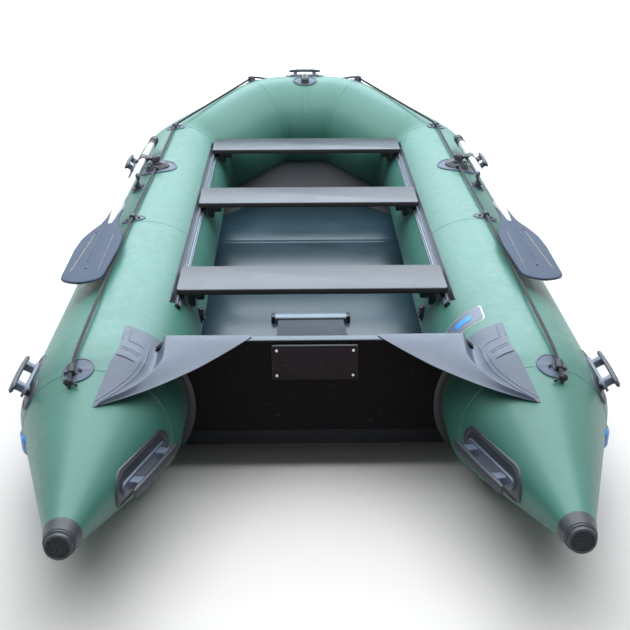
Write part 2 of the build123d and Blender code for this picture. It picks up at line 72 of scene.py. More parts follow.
CONE_END = Vector((0.590, y(-0.700), 0.300))
CONE_END_R = 0.045
STERN = Vector((AXIS_X, CONE_Y, TUBE_R))
CORNER = Vector((AXIS_X, y(2.345), TUBE_R))
SHOULDER = Vector((0.187, y(2.690), 0.385))
BOW = Vector((0, SHOULDER.y, SHOULDER.z))
BOW_BEND = 0.262             # bend radius of the tube's axis
FORWARD = Vector((0, 1, 0))
UP = Vector((0, 0, 1))
CONE_ALONG = (CONE_END - STERN).normalized()
CONE_LENGTH = (CONE_END - STERN).length
SIDES = ("starboard", "port")


# ---------------------------------------------------------------------------
# Settings that a user would change
# ---------------------------------------------------------------------------
def colour(name, description, default):
    return bpy.props.FloatVectorProperty(
        name=name, description=description, subtype="COLOR", size=3, min=0, max=1, default=default
    )


def length(name, description, default):
    return bpy.props.FloatProperty(
        name=name, description=description, unit="LENGTH", min=0, default=default, precision=4
    )


class BoatColours(bpy.types.PropertyGroup):
    tube: colour("Tubes", "Coated fabric of the tubes", (0.066, 0.232, 0.185))
    patch: colour("Patches", "Coated fabric of the skirts and patches", (0.078, 0.106, 0.160))
    rubber: colour("Rubber", "Moulded handles, caps and fairleads", (0.040, 0.046, 0.060))
    film: colour("Film", "Film on the transom's plywood", (0.0066, 0.0042, 0.0058))
    seat: colour("Seats", "Film on the benches", (0.048, 0.052, 0.072))
    deck: colour("Deck", "Top of the floor", (0.020, 0.045, 0.065))
    rope: colour("Rope", "Braided lifeline", (0.012, 0.014, 0.018))
    shaft: colour("Oar shafts", "Anodised tube", (0.800, 0.840, 0.860))
    blade: colour("Oar blades", "Moulded blades and grips", (0.068, 0.092, 0.142))
    accent: colour("Accent", "Blue tabs and label blocks", (0.006, 0.290, 0.900))


class BoatSizes(bpy.types.PropertyGroup):
    lap: length("Lap", "Step where one tube panel overlaps the next", 0.0011)
    cloth: length("Cloth", "Thickness of the coated fabric patches", 0.0016)
    weld: length("Weld", "Height of the welded ridges on the skirts", 0.0012)


# ---------------------------------------------------------------------------
# Modelling helpers
# ---------------------------------------------------------------------------
def deselect():
    if bpy.context.mode != "OBJECT":
        bpy.ops.object.mode_set(mode="OBJECT")
    bpy.ops.object.select_all(action="DESELECT")


def only(obj):
    deselect()
    obj.select_set(True)
    bpy.context.view_layer.objects.active = obj
    return obj


def edit(obj, mode="VERT"):
    """Opens one object with everything selected."""
    only(obj)
    bpy.ops.object.mode_set(mode="EDIT")
    bpy.ops.mesh.select_mode(type=mode)
    bpy.ops.mesh.select_all(action="SELECT")


def done():
    bpy.ops.object.mode_set(mode="OBJECT")
    return bpy.context.object


def pick(test, faces=False):
    """Selects the open mesh's vertices, or faces, that pass the test."""
    bpy.ops.mesh.select_all(action="DESELECT")
    mesh = bmesh.from_edit_mesh(bpy.context.object.data)
    if faces:
        mesh.normal_update()
        for face in mesh.faces:
            face.select = test(face)
    else:
        for vert in mesh.verts:
            vert.select = test(vert.co)
        mesh.select_flush(True)
    bmesh.update_edit_mesh(bpy.context.object.data)


def extrude(move):
    bpy.ops.mesh.extrude_edges_move(TRANSFORM_OT_translate={"value": tuple(move)})


def raise_faces(move):
    bpy.ops.mesh.extrude_region_move(TRANSFORM_OT_translate={"value": tuple(move)})


def scale(value, centre):
    bpy.ops.transform.resize(value=value, center_override=tuple(centre))


def paint_faces(obj, finish, test):
    """Gives the faces that pass the test a second finish."""
    obj.data.materials.append(finish)
    edit(obj, "FACE")
    pick(test, faces=True)
    obj.active_material_index = 1
    bpy.ops.object.material_slot_assign()
    done()


def mesh_object(name, verts, faces):
    """An object of these points and faces, in the scene."""
    mesh = bpy.data.meshes.new(name)
    mesh.from_pydata([tuple(vert) for vert in verts], [], faces)
    obj = bpy.data.objects.new(name, mesh)
    bpy.context.scene.collection.objects.link(obj)
    return obj


def modify(obj, kind, **settings):
    """Adds a modifier with these settings and applies it."""
    only(obj)
    modifier = obj.modifiers.new(kind.title(), kind)
    for key, value in settings.items():
        setattr(modifier, key, value)
    bpy.ops.object.modifier_apply(modifier=modifier.name)
    return obj


def bevel(obj, width, segments=2, angle=35):
    return modify(obj, "BEVEL", width=width, segments=segments, limit_method="ANGLE",
                  angle_limit=radians(angle), harden_normals=False)


def subdivide(obj, levels=1):
    return modify(obj, "SUBSURF", levels=levels, render_levels=levels)


def mend(obj):
    """Merges doubles and turns the faces outwards."""
    edit(obj)
    bpy.ops.mesh.remove_doubles(threshold=0.00005)
    bpy.ops.mesh.normals_make_consistent(inside=False)
    return done()


def apply_place(obj, matrix=None):
    """Puts the object where the matrix says, with its place in its mesh."""
    only(obj)
    if matrix is not None:
        obj.matrix_world = matrix @ obj.matrix_world
    bpy.ops.object.transform_apply(location=True, rotation=True, scale=True)
    return obj


def copy_of(obj, matrix=None):
    twin = obj.copy()
    twin.data = obj.data.copy()
    bpy.context.scene.collection.objects.link(twin)
    if matrix is not None:
        twin.data.transform(matrix)
        if matrix.determinant() < 0:
            twin.data.flip_normals()
    return twin


MIRROR = Matrix.Scale(-1, 4, (1, 0, 0))


def join(objects):
    deselect()
    for obj in objects:
        obj.select_set(True)
    bpy.context.view_layer.objects.active = objects[0]
    if len(objects) > 1:
        bpy.ops.object.join()
    return objects[0]


def both_sides(obj):
    return join([obj, copy_of(obj, MIRROR)])


def discard(obj):
    bpy.data.objects.remove(obj)


def smooth(obj, angle=35):
    only(obj)
    bpy.ops.object.shade_smooth_by_angle(angle=radians(angle))
    return obj


def finish_piece(obj, name, material, body="hull", nodes=(), angle=35):
    """Names, shades and paints a piece, sets what it rides on and hides the parts that it stands for."""
    apply_place(obj)
    smooth(obj, angle)
    obj.name = name
    obj.data.name = name
    if material is not None:
        obj.data.materials.clear()
        obj.data.materials.append(material)
    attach(obj, body)
    if nodes:
        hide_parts(*nodes)
    return obj


def axes(origin, x_dir, z_dir):
    """A frame with its z along z_dir and its x as near x_dir as can be."""
    z_dir = z_dir.normalized()
    y_dir = z_dir.cross(x_dir).normalized()
    x_dir = y_dir.cross(z_dir)
    turn = Matrix((x_dir, y_dir, z_dir)).transposed().to_4x4()
    return Matrix.Translation(origin) @ turn


def across_boat(x):
    """Stands a flat outline of y, z points up, to be raised from x to starboard."""
    return Matrix(((0, 0, 1, x), (1, 0, 0, 0), (0, 1, 0, 0), (0, 0, 0, 1)))


def tube_frame(station, angle, lift=0.0):
    """Frame on the starboard tube's skin; angle is from the crest outwards,
    x runs forward and z straight out of the skin."""
    out = Vector((sin(angle), 0, cos(angle)))
    spot = Vector((AXIS_X, y(station), TUBE_R)) + out * (TUBE_R + lift)
    return axes(spot, FORWARD, out)


def bow_frame(angle):
    """Frame on the bow tube's skin; angle is from the crest forwards."""
    out = Vector((0, sin(angle), cos(angle)))
    return axes(BOW + out * TUBE_R, Vector((1, 0, 0)), out)


def cone_point(station, angle, lift=0.0):
    """Point over the starboard cone's skin."""
    t = (y(station) - CONE_Y) / (CONE_END.y - CONE_Y)
    centre = STERN.lerp(CONE_END, t)
    reach = TUBE_R + (CONE_END_R - TUBE_R) * t + lift
    return centre + Vector((sin(angle), 0, cos(angle))) * reach


def skin_point(station, angle, lift=0.0):
    """Point over the starboard tube, or over the cone aft of it."""
    if y(station) < CONE_Y:
        return cone_point(station, angle, lift)
    return tube_frame(station, angle, lift).translation


def skin_at_x(x, station, lift=0.0):
    """Point over the upper skin at that distance from the middle plane."""
    t = max(0, (y(station) - CONE_Y) / (CONE_END.y - CONE_Y))
    centre = STERN.lerp(CONE_END, t)
    reach = TUBE_R + (CONE_END_R - TUBE_R) * t + lift
    return Vector((x, y(station), centre.z + sqrt(reach**2 - (x - centre.x) ** 2)))


# --- Primitives -------------------------------------------------------------
def rod(radius, depth, at=(0, 0, 0), sides=32, turn=(0, 0, 0)):
    """A capped cylinder whose middle is at a point."""
    deselect()
    bpy.ops.mesh.primitive_cylinder_add(vertices=sides, radius=radius, depth=depth, location=at,
                                        rotation=turn)
    return bpy.context.object


def rod_between(start, end, radius, sides=24):
    start, end = Vector(start), Vector(end)
    turn = (end - start).to_track_quat("Z", "Y").to_euler()
    return rod(radius, (end - start).length, (start + end) / 2, sides, turn)


def block(size, at=(0, 0, 0), turn=(0, 0, 0)):
    deselect()
    bpy.ops.mesh.primitive_cube_add(size=1, location=at, rotation=turn)
    obj = bpy.context.object
    obj.scale = size
    bpy.ops.object.transform_apply(location=False, rotation=False, scale=True)
    return obj


def ball(radius, at, segments=24, rings=16):
    deselect()
    bpy.ops.mesh.primitive_uv_sphere_add(radius=radius, location=at, segments=segments, ring_count=rings)
    return bpy.context.object


def ring(major, minor, at=(0, 0, 0), turn=(0, 0, 0), around=48, across=12):
    deselect()
    bpy.ops.mesh.primitive_torus_add(location=at, rotation=turn, major_radius=major, minor_radius=minor,
                                     major_segments=around, minor_segments=across)
    return bpy.context.object


def plate(outline, thick=0.0, name="plate"):
    """A flat face on z = 0 through these x, y points, raised by thick."""
    deselect()
    bpy.ops.mesh.primitive_circle_add(vertices=len(outline), radius=1, fill_type="NGON")
    obj = bpy.context.object
    obj.name = name
    for vert, (px, py) in zip(obj.data.vertices, outline):
        vert.co = (px, py, 0)
    edit(obj, "FACE")
    bpy.ops.mesh.normals_make_consistent(inside=False)
    if thick:
        raise_faces((0, 0, thick))
        bpy.ops.mesh.select_all(action="SELECT")
        bpy.ops.mesh.normals_make_consistent(inside=False)
    return done()


def ellipse(half_x, half_y, count=48):
    return [(half_x * cos(2 * pi * i / count), half_y * sin(2 * pi * i / count)) for i in range(count)]


def slot_outline(half_long, half_wide, count=12):
    """A long slot with round ends, anticlockwise."""
    run = half_long - half_wide
    right = [(run + half_wide * cos(a), half_wide * sin(a))
             for a in (-pi / 2 + pi * i / count for i in range(count + 1))]
    return right + [(-px, -py) for px, py in right]


def rounded_box(half_x, half_y, corner, count=5):
    points = []
    for sx, sy, start in ((1, 1, 0), (-1, 1, 90), (-1, -1, 180), (1, -1, 270)):
        for i in range(count + 1):
            a = radians(start + 90 * i / count)
            points.append((sx * (half_x - corner) + corner * cos(a),
                           sy * (half_y - corner) + corner * sin(a)))
    return points


def lathe(profile, sides=48, name="lathe"):
    """Spins an (r, z) profile about the z axis, closing its ends on the axis."""
    deselect()
    bpy.ops.mesh.primitive_circle_add(vertices=sides, radius=profile[0][0], location=(0, 0, profile[0][1]),
                                      fill_type="NGON")
    obj = bpy.context.object
    obj.name = name
    edit(obj, "EDGE")
    radius = profile[0][0]
    for next_radius, height in profile[1:]:
        here = sum((v.co for v in bmesh.from_edit_mesh(obj.data).verts if v.select), Vector()) / sides
        extrude((0, 0, height - profile[0][1] - here.z))
        factor = next_radius / radius
        scale((factor, factor, 1), (0, 0, height))
        radius = next_radius
    bpy.ops.mesh.edge_face_add()
    bpy.ops.mesh.select_all(action="SELECT")
    bpy.ops.mesh.normals_make_consistent(inside=False)
    return done()


# ---------------------------------------------------------------------------
# Shader node groups
# ---------------------------------------------------------------------------
class Group:
    """A shader node group under construction."""

    def __init__(self, name, inputs, outputs):
        self.tree = bpy.data.node_groups.new(name, "ShaderNodeTree")
        for label, kind, default in inputs:
            socket = self.tree.interface.new_socket(name=label, in_out="INPUT", socket_type=kind)
            socket.default_value = default
        for label, kind in outputs:
            self.tree.interface.new_socket(name=label, in_out="OUTPUT", socket_type=kind)
        self.given = self.tree.nodes.new("NodeGroupInput")
        self.result = self.tree.nodes.new("NodeGroupOutput")

    def node(self, kind, links=None, **settings):
        return add_node(self.tree, kind, links, **settings)

    def give(self, label, socket):
        self.tree.links.new(socket, self.result.inputs[label])


def add_node(tree, kind, links=None, **settings):
    """A node with some attributes set and some inputs linked or filled."""
    node = tree.nodes.new("ShaderNode" + kind)
    for key, value in settings.items():
        setattr(node, key, value)
    for key, value in (links or {}).items():
        if isinstance(value, bpy.types.NodeSocket):
            tree.links.new(value, node.inputs[key])
        else:
            node.inputs[key].default_value = value
    return node


FLOAT = "NodeSocketFloat"
COLOUR = "NodeSocketColor"


def fabric_group():
    """Coated fabric: faint clouding, a fine emboss and dust in the tone."""
    group = Group(
        "coated_fabric",
        [("Colour", COLOUR, (0.2, 0.2, 0.2, 1)), ("Gloss", FLOAT, 0.4), ("Grain", FLOAT, 900.0),
         ("Clouding", FLOAT, 0.08)],
        [("Colour", COLOUR), ("Roughness", FLOAT), ("Height", FLOAT)],
    )
    place = group.node("TexCoord").outputs["Object"]
    clouds = group.node("TexNoise", {"Vector": place, "Scale": 3.2, "Detail": 4.0, "Roughness": 0.55})
    scuffs = group.node("TexNoise", {"Vector": place, "Scale": 38.0, "Detail": 5.0, "Roughness": 0.7})
    emboss = group.node("TexVoronoi", {"Vector": place, "Scale": group.given.outputs["Grain"]},
                        feature="SMOOTH_F1")
    tone = group.node("MapRange", {"Value": clouds.outputs["Fac"], "From Min": 0.3, "From Max": 0.7,
                                   "To Min": 1.0, "To Max": 0.0})
    strength = group.node("Math", {0: tone.outputs["Result"], 1: group.given.outputs["Clouding"]},
                          operation="MULTIPLY")
    shade = group.node("HueSaturation", {"Color": group.given.outputs["Colour"], "Saturation": 0.92,
                                         "Value": 0.62})
    dull = group.node("Mix", {"Factor": strength.outputs[0], 6: group.given.outputs["Colour"],
                              7: shade.outputs["Color"]}, data_type="RGBA")
    marks = group.node("MapRange", {"Value": scuffs.outputs["Fac"], "From Min": 0.35, "From Max": 0.75,
                                    "To Min": -0.05, "To Max": 0.09})
    rough = group.node("Math", {0: group.given.outputs["Gloss"], 1: marks.outputs["Result"]}, operation="ADD")
    height = group.node("Math", {0: emboss.outputs["Distance"], 1: clouds.outputs["Fac"]}, operation="ADD")
    group.give("Colour", dull.outputs[2])
    group.give("Roughness", rough.outputs[0])
    group.give("Height", height.outputs[0])
    return group.tree


def wear_group():
    """Dust and small scratches: a mask and a roughness that follow the surface."""
    group = Group(
        "dust_and_wear",
        [("Scale", FLOAT, 30.0), ("Amount", FLOAT, 0.3)],
        [("Mask", FLOAT), ("Scratch", FLOAT)],
    )
    place = group.node("TexCoord").outputs["Object"]
    dust = group.node("TexNoise", {"Vector": place, "Scale": group.given.outputs["Scale"], "Detail": 6.0,
                                   "Roughness": 0.65})
    spread = group.node("MapRange", {"Value": dust.outputs["Fac"], "From Min": 0.42, "From Max": 0.72})
    mask = group.node("Math", {0: spread.outputs["Result"], 1: group.given.outputs["Amount"]},
                      operation="MULTIPLY")
    stretch = group.node("Mapping", {"Vector": place, "Scale": (9.0, 160.0, 60.0),
                                     "Rotation": (0.1, 0.2, 0.6)})
    lines = group.node("TexNoise", {"Vector": stretch.outputs["Vector"], "Scale": 3.0, "Detail": 2.0})
    scratch = group.node("MapRange", {"Value": lines.outputs["Fac"], "From Min": 0.68, "From Max": 0.72})
    group.give("Mask", mask.outputs[0])
    group.give("Scratch", scratch.outputs["Result"])
    return group.tree


def grid_group():
    """The fine wire-mesh print of film-faced plywood, on two object axes."""
    group = Group(
        "mesh_print",
        [("Across", FLOAT, 900.0), ("Along", FLOAT, 900.0), ("Turn", FLOAT, 0.0)],
        [("Print", FLOAT)],
    )
    place = group.node("TexCoord").outputs["Object"]
    parts = group.node("SeparateXYZ", {"Vector": place})
    upright = group.node("Mix", {"Factor": group.given.outputs["Turn"], 2: parts.outputs["Y"],
                                 3: parts.outputs["Z"]}, data_type="FLOAT")
    waves = []
    for value, pitch in ((parts.outputs["X"], "Across"), (upright.outputs[0], "Along")):
        phase = group.node("Math", {0: value, 1: group.given.outputs[pitch]}, operation="MULTIPLY")
        waves.append(group.node("Math", {0: phase.outputs[0]}, operation="SINE").outputs[0])
    both = group.node("Math", {0: waves[0], 1: waves[1]}, operation="MAXIMUM")
    sharp = group.node("MapRange", {"Value": both.outputs[0], "From Min": 0.55, "From Max": 1.0})
    group.give("Print", sharp.outputs["Result"])
    return group.tree


def braid_group():
    """Plaited sheath in UV space: u along the rope in metres, v around it. Its Shade output, the same as its
    Height, marks the weave's grooves for painted shade.
    """
    group = Group(
        "braided_sheath",
        [("Pitch", FLOAT, 620.0), ("Plaits", FLOAT, 6.0)],
        [("Height", FLOAT), ("Shade", FLOAT)],
    )
    uv = group.node("SeparateXYZ", {"Vector": group.node("TexCoord").outputs["UV"]})
    along = group.node("Math", {0: uv.outputs["X"], 1: group.given.outputs["Pitch"]}, operation="MULTIPLY")
    turns = group.node("Math", {0: group.given.outputs["Plaits"], 1: 2 * pi}, operation="MULTIPLY")
    around = group.node("Math", {0: uv.outputs["Y"], 1: turns.outputs[0]}, operation="MULTIPLY")
    weave = []
    for sign in ("ADD", "SUBTRACT"):
        mixed = group.node("Math", {0: along.outputs[0], 1: around.outputs[0]}, operation=sign)
        weave.append(group.node("Math", {0: mixed.outputs[0]}, operation="SINE").outputs[0])
    top = group.node("Math", {0: weave[0], 1: weave[1]}, operation="MAXIMUM")
    height = group.node("MapRange", {"Value": top.outputs[0], "From Min": -1.0, "From Max": 1.0})
    group.give("Height", height.outputs["Result"])
    group.give("Shade", height.outputs["Result"])
    return group.tree


# ---------------------------------------------------------------------------
# Materials
# ---------------------------------------------------------------------------
class Finish:
    """A material whose nodes end in one Principled BSDF."""

    def __init__(self, name, rough, metallic=0.0, specular=0.5):
        self.material = bpy.data.materials.new("boat_" + name)
        self.material.use_nodes = True
        self.tree = self.material.node_tree
        self.tree.nodes.clear()
        self.shader = self.tree.nodes.new("ShaderNodeBsdfPrincipled")
        output = self.tree.nodes.new("ShaderNodeOutputMaterial")
        self.tree.links.new(self.shader.outputs["BSDF"], output.inputs["Surface"])
        self.set("Roughness", rough)
        self.set("Metallic", metallic)
        self.set("Specular IOR Level", specular)

    def node(self, kind, links=None, **settings):
        return add_node(self.tree, kind, links, **settings)

    def group(self, name, **values):
        node = self.tree.nodes.new("ShaderNodeGroup")
        node.node_tree = bpy.data.node_groups[name]
        for key, value in values.items():
            node.inputs[key].default_value = value
        return node

    def set(self, socket, value):
        if isinstance(value, bpy.types.NodeSocket):
            self.tree.links.new(value, self.shader.inputs[socket])
        else:
            self.shader.inputs[socket].default_value = value

    def bump(self, height, distance, strength=1.0):
        node = self.node("Bump", {"Height": height, "Distance": distance, "Strength": strength})
        self.set("Normal", node.outputs["Normal"])

    def blend(self, factor, first, second):
        mix = self.node("Mix", {"Factor": factor, 6: opaque(first), 7: opaque(second)}, data_type="RGBA")
        return mix.outputs[2]


def opaque(value):
    if isinstance(value, bpy.types.NodeSocket):
        return value
    return (*value, 1.0)


def darker(value, factor):
    return tuple(part * factor for part in value)


def coated_fabric(name, base, rough, clouding, specular=0.5):
    """Coated fabric: clouded tone, dust and a fine emboss."""
    finish = Finish(name, rough, specular=specular)
    cloth = finish.group("coated_fabric", Colour=(*base, 1), Gloss=rough, Grain=900.0, Clouding=clouding)
    dust = finish.group("dust_and_wear", Scale=11.0, Amount=0.10)
    pale = tuple(min(1, part * 1.25 + 0.02) for part in base)
    finish.set("Base Color", finish.blend(dust.outputs["Mask"], cloth.outputs["Colour"], pale))
    finish.set("Roughness", cloth.outputs["Roughness"])
    finish.bump(cloth.outputs["Height"], 0.00012, 0.35)
    return finish.material


def moulded(name, base, rough=0.45, stipple=1400.0, relief=0.0001, worn=0.35, gloss=0.5):
    """Moulded rubber or plastic: stipple, a little dust, paler scratches."""
    finish = Finish(name, rough, specular=gloss)
    wear = finish.group("dust_and_wear", Scale=60.0, Amount=worn)
    pale = tuple(part * 1.6 + 0.01 for part in base)
    dusted = finish.blend(wear.outputs["Mask"], base, pale)
    finish.set("Base Color", finish.blend(wear.outputs["Scratch"], dusted, pale))
    place = finish.node("TexCoord").outputs["Object"]
    dots = finish.node("TexVoronoi", {"Vector": place, "Scale": stipple}, feature="SMOOTH_F1")
    tone = finish.node("MapRange", {"Value": wear.outputs["Mask"], "To Min": rough - 0.04,
                                    "To Max": rough + 0.2})
    finish.set("Roughness", tone.outputs["Result"])
    finish.bump(dots.outputs["Distance"], relief, 0.5)
    return finish.material


def film_plywood(name, base, rough, upright, pitch=2100.0, gloss=0.5):
    """Film-faced plywood: a fine printed mesh, faint scratches and fibres."""
    finish = Finish(name, rough, specular=gloss)
    print_ = finish.group("mesh_print", Across=pitch, Along=pitch, Turn=float(upright))
    wear = finish.group("dust_and_wear", Scale=7.0, Amount=0.35)
    lined = finish.blend(print_.outputs["Print"], base, darker(base, 0.72))
    worn = finish.blend(wear.outputs["Mask"], lined, tuple(part * 1.35 + 0.006 for part in base))
    finish.set("Base Color", finish.blend(wear.outputs["Scratch"], worn,
                                          tuple(part * 1.7 + 0.02 for part in base)))
    tone = finish.node("MapRange", {"Value": wear.outputs["Mask"], "To Min": rough, "To Max": rough + 0.25})
    finish.set("Roughness", tone.outputs["Result"])
    finish.bump(print_.outputs["Print"], 0.00012, 0.6)
    return finish.material


def plies(name, base, film, low, high):
    """Board edge: sealed film on the faces, thin plies showing in the edge."""
    finish = Finish(name, 0.55)
    place = finish.node("TexCoord").outputs["Object"]
    depth = finish.node("SeparateXYZ", {"Vector": place})
    phase = finish.node("Math", {0: depth.outputs["Z"], 1: 2 * pi * 13 / (high - low)}, operation="MULTIPLY")
    wave = finish.node("Math", {0: phase.outputs[0]}, operation="SINE")
    band = finish.node("MapRange", {"Value": wave.outputs[0], "From Min": -0.5, "From Max": 0.5})
    finish.set("Base Color", finish.blend(band.outputs["Result"], base, film))
    finish.bump(wave.outputs[0], 0.0001, 0.5)
    return finish.material


def metal(name, base, rough, brushed=(40.0, 900.0, 40.0)):
    finish = Finish(name, rough, metallic=1.0)
    place = finish.node("TexCoord").outputs["Object"]
    stretch = finish.node("Mapping", {"Vector": place, "Scale": brushed})
    grain = finish.node("TexNoise", {"Vector": stretch.outputs["Vector"], "Scale": 4.0, "Detail": 3.0})
    finish.set("Base Color", finish.blend(grain.outputs["Fac"], base, darker(base, 0.86)))
    tone = finish.node("MapRange", {"Value": grain.outputs["Fac"], "To Min": rough - 0.08,
                                    "To Max": rough + 0.1})
    finish.set("Roughness", tone.outputs["Result"])
    finish.bump(grain.outputs["Fac"], 0.00005, 0.3)
    return finish.material


def rope_material(name, base):
    finish = Finish(name, 0.75)
    sheath = finish.group("braided_sheath")
    # The weave's grooves are coloured at a third of the rope's tone: painted shade.
    finish.set("Base Color", finish.blend(sheath.outputs["Shade"], darker(base, 0.35), base))
    finish.bump(sheath.outputs["Height"], 0.0006, 0.9)
    finish.set("Sheen Weight", 0.2)
    return finish.material


def deck_material(name, base):
    finish = Finish(name, 0.33)
    wear = finish.group("dust_and_wear", Scale=4.0, Amount=0.4)
    place = finish.node("TexCoord").outputs["Object"]
    pebbles = finish.node("TexVoronoi", {"Vector": place, "Scale": 420.0}, feature="SMOOTH_F1")
    finish.set("Base Color", finish.blend(wear.outputs["Mask"], base,
                                          tuple(part * 1.7 + 0.01 for part in base)))
    tone = finish.node("MapRange", {"Value": wear.outputs["Mask"], "To Min": 0.28, "To Max": 0.5})
    finish.set("Roughness", tone.outputs["Result"])
    finish.bump(pebbles.outputs["Distance"], 0.0002, 0.4)
    return finish.material


def make_materials():
    """Every finish of the boat, by name."""
    tones = bpy.context.scene.boat_colours
    for build in (fabric_group, wear_group, grid_group, braid_group):
        build()
    coated_fabric("tube_fabric", tuple(tones.tube), 0.42, 0.35, specular=0.55)
    coated_fabric("grey_fabric", tuple(tones.patch), 0.42, 0.3)
    coated_fabric("bottom_fabric", (0.050, 0.056, 0.066), 0.5, 0.4)
    coated_fabric("black_fabric", (0.018, 0.022, 0.024), 0.45, 0.4)
    moulded("moulded_rubber", tuple(tones.rubber))
    moulded("pad_rubber", tuple(tones.patch), 0.5)
    moulded("black_rubber", (0.010, 0.011, 0.013), 0.4)
    moulded("strake_rubber", (0.045, 0.050, 0.058), 0.5)
    moulded("blade_plastic", tuple(tones.blade), 0.55, 900.0, 0.00006, 0.2, 0.1)
    # A paler copy of the handles' rubber for their frames: a painted highlight
    moulded("frame_rubber_highlight", (0.120, 0.150, 0.210), 0.38)
    moulded("foot_rubber", (0.006, 0.007, 0.010), 0.5, gloss=0.15)
    # Near black for the rails' moulded stops, and for the bed's ends as painted shade
    moulded("rail_profile", (0.016, 0.018, 0.022), 0.35)
    moulded("rail_band", (0.062, 0.074, 0.094), 0.42)
    moulded("transom_edge", (0.095, 0.135, 0.175), 0.45)
    moulded("accent_plastic", tuple(tones.accent), 0.35, 900.0, 0.00004, 0.1)
    moulded("label_film", (0.130, 0.160, 0.230), 0.4, 700.0, 0.00003, 0.1)
    moulded("label_white", (0.780, 0.800, 0.820), 0.3, 700.0, 0.00003, 0.1)
    film_plywood("transom_film", tuple(tones.film), 0.42, True, gloss=0.08)
    film_plywood("plate_film", (0.026, 0.017, 0.022), 0.45, True, gloss=0.16)
    # Pale edges of the motor plate: a painted highlight
    film_plywood("plate_edge_highlight", (0.190, 0.200, 0.215), 0.5, True)
    film_plywood("bench_film", tuple(tones.seat), 0.30, False)
    film_plywood("knee_film", (0.060, 0.070, 0.092), 0.36, False)
    plies("bench_edge", (0.026, 0.021, 0.022), (0.012, 0.011, 0.013),
          *[c.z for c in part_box("middle_bench_board")])
    metal("anodised_tube", tuple(tones.shaft), 0.30)
    metal("rail_metal", (0.30, 0.34, 0.40), 0.38)
    metal("knee_metal", (0.22, 0.27, 0.32), 0.50)
    metal("steel", (0.62, 0.63, 0.64), 0.28, (60.0, 60.0, 60.0))
    metal("dark_steel", (0.12, 0.12, 0.13), 0.35, (60.0, 60.0, 60.0))
    rope_material("black_rope", tuple(tones.rope))
    deck_material("deck_panel", tuple(tones.deck))


def material(name):
    return bpy.data.materials["boat_" + name]


# ---------------------------------------------------------------------------
# Stage
# ---------------------------------------------------------------------------
CAMERA_AT = Vector((-0.0506, -3.687, 1.7428))
CAMERA_PITCH = 0.4393        # radians below level
CAMERA_YAW = 0.0195          # radians towards starboard
LENS = 58.18
SENSOR = 36                  # millimetres
FLOOR_TONE = (0.97, 0.93, 0.90)
FLOOR_BOUNCE = (0.22, 0.23, 0.25)    # what the boat gets back from the floor
FLOOR_SIZE = 60
FLOOR_SHIFT = 8              # the floor's middle, ahead of the boat
FADE_START, FADE_END = 3.0, 9.0      # distances at which the floor turns into the backdrop
FADE_GLOW = (0.9, 0.9, 0.9)
SKY_TONE = (0.92, 0.96, 1.0, 1)
SKY_STRENGTH = 0.11          # backdrop's light on the boat; it is shown white
# Name, size, place, aim, watts and tone of each light.
SOFT_LIGHTS = (
    ("overhead_softbox", (6.4, 6.4), (0, 0.4, 4.2), (0, 0.2, 0), 360, (0.93, 0.97, 1.0)),
    ("bow_softbox", (9.0, 4.0), (0, 7.0, 4.6), (0, 0.2, 0.4), 480, (0.74, 0.88, 1.0)),
    ("stern_fill", (3.0, 2.0), (-1.0, -5.2, 2.6), (0, -0.6, 0.3), 5, (1, 1, 1)),
)


def seen_path(tree):
    """One for rays that show a thing itself, mirrored or through glass."""
    paths = add_node(tree, "LightPath")
    direct = add_node(tree, "Math", {0: paths.outputs["Is Camera Ray"], 1: paths.outputs["Is Glossy Ray"]},
                      operation="MAXIMUM")
    seen = add_node(tree, "Math", {0: direct.outputs[0], 1: paths.outputs["Is Transmission Ray"]},
                    operation="MAXIMUM")
    return seen.outputs[0]


def soft_light(name, size, at, aim, watts, tone):
    light = bpy.data.lights.new(name, "AREA")
    light.shape = "RECTANGLE"
    light.size, light.size_y = size
    light.energy = watts
    light.color = tone
    lamp = bpy.data.objects.new(name, light)
    bpy.context.scene.collection.objects.link(lamp)
    lamp.location = at
    lamp.rotation_euler = (Vector(aim) - Vector(at)).to_track_quat("-Z", "Y").to_euler()


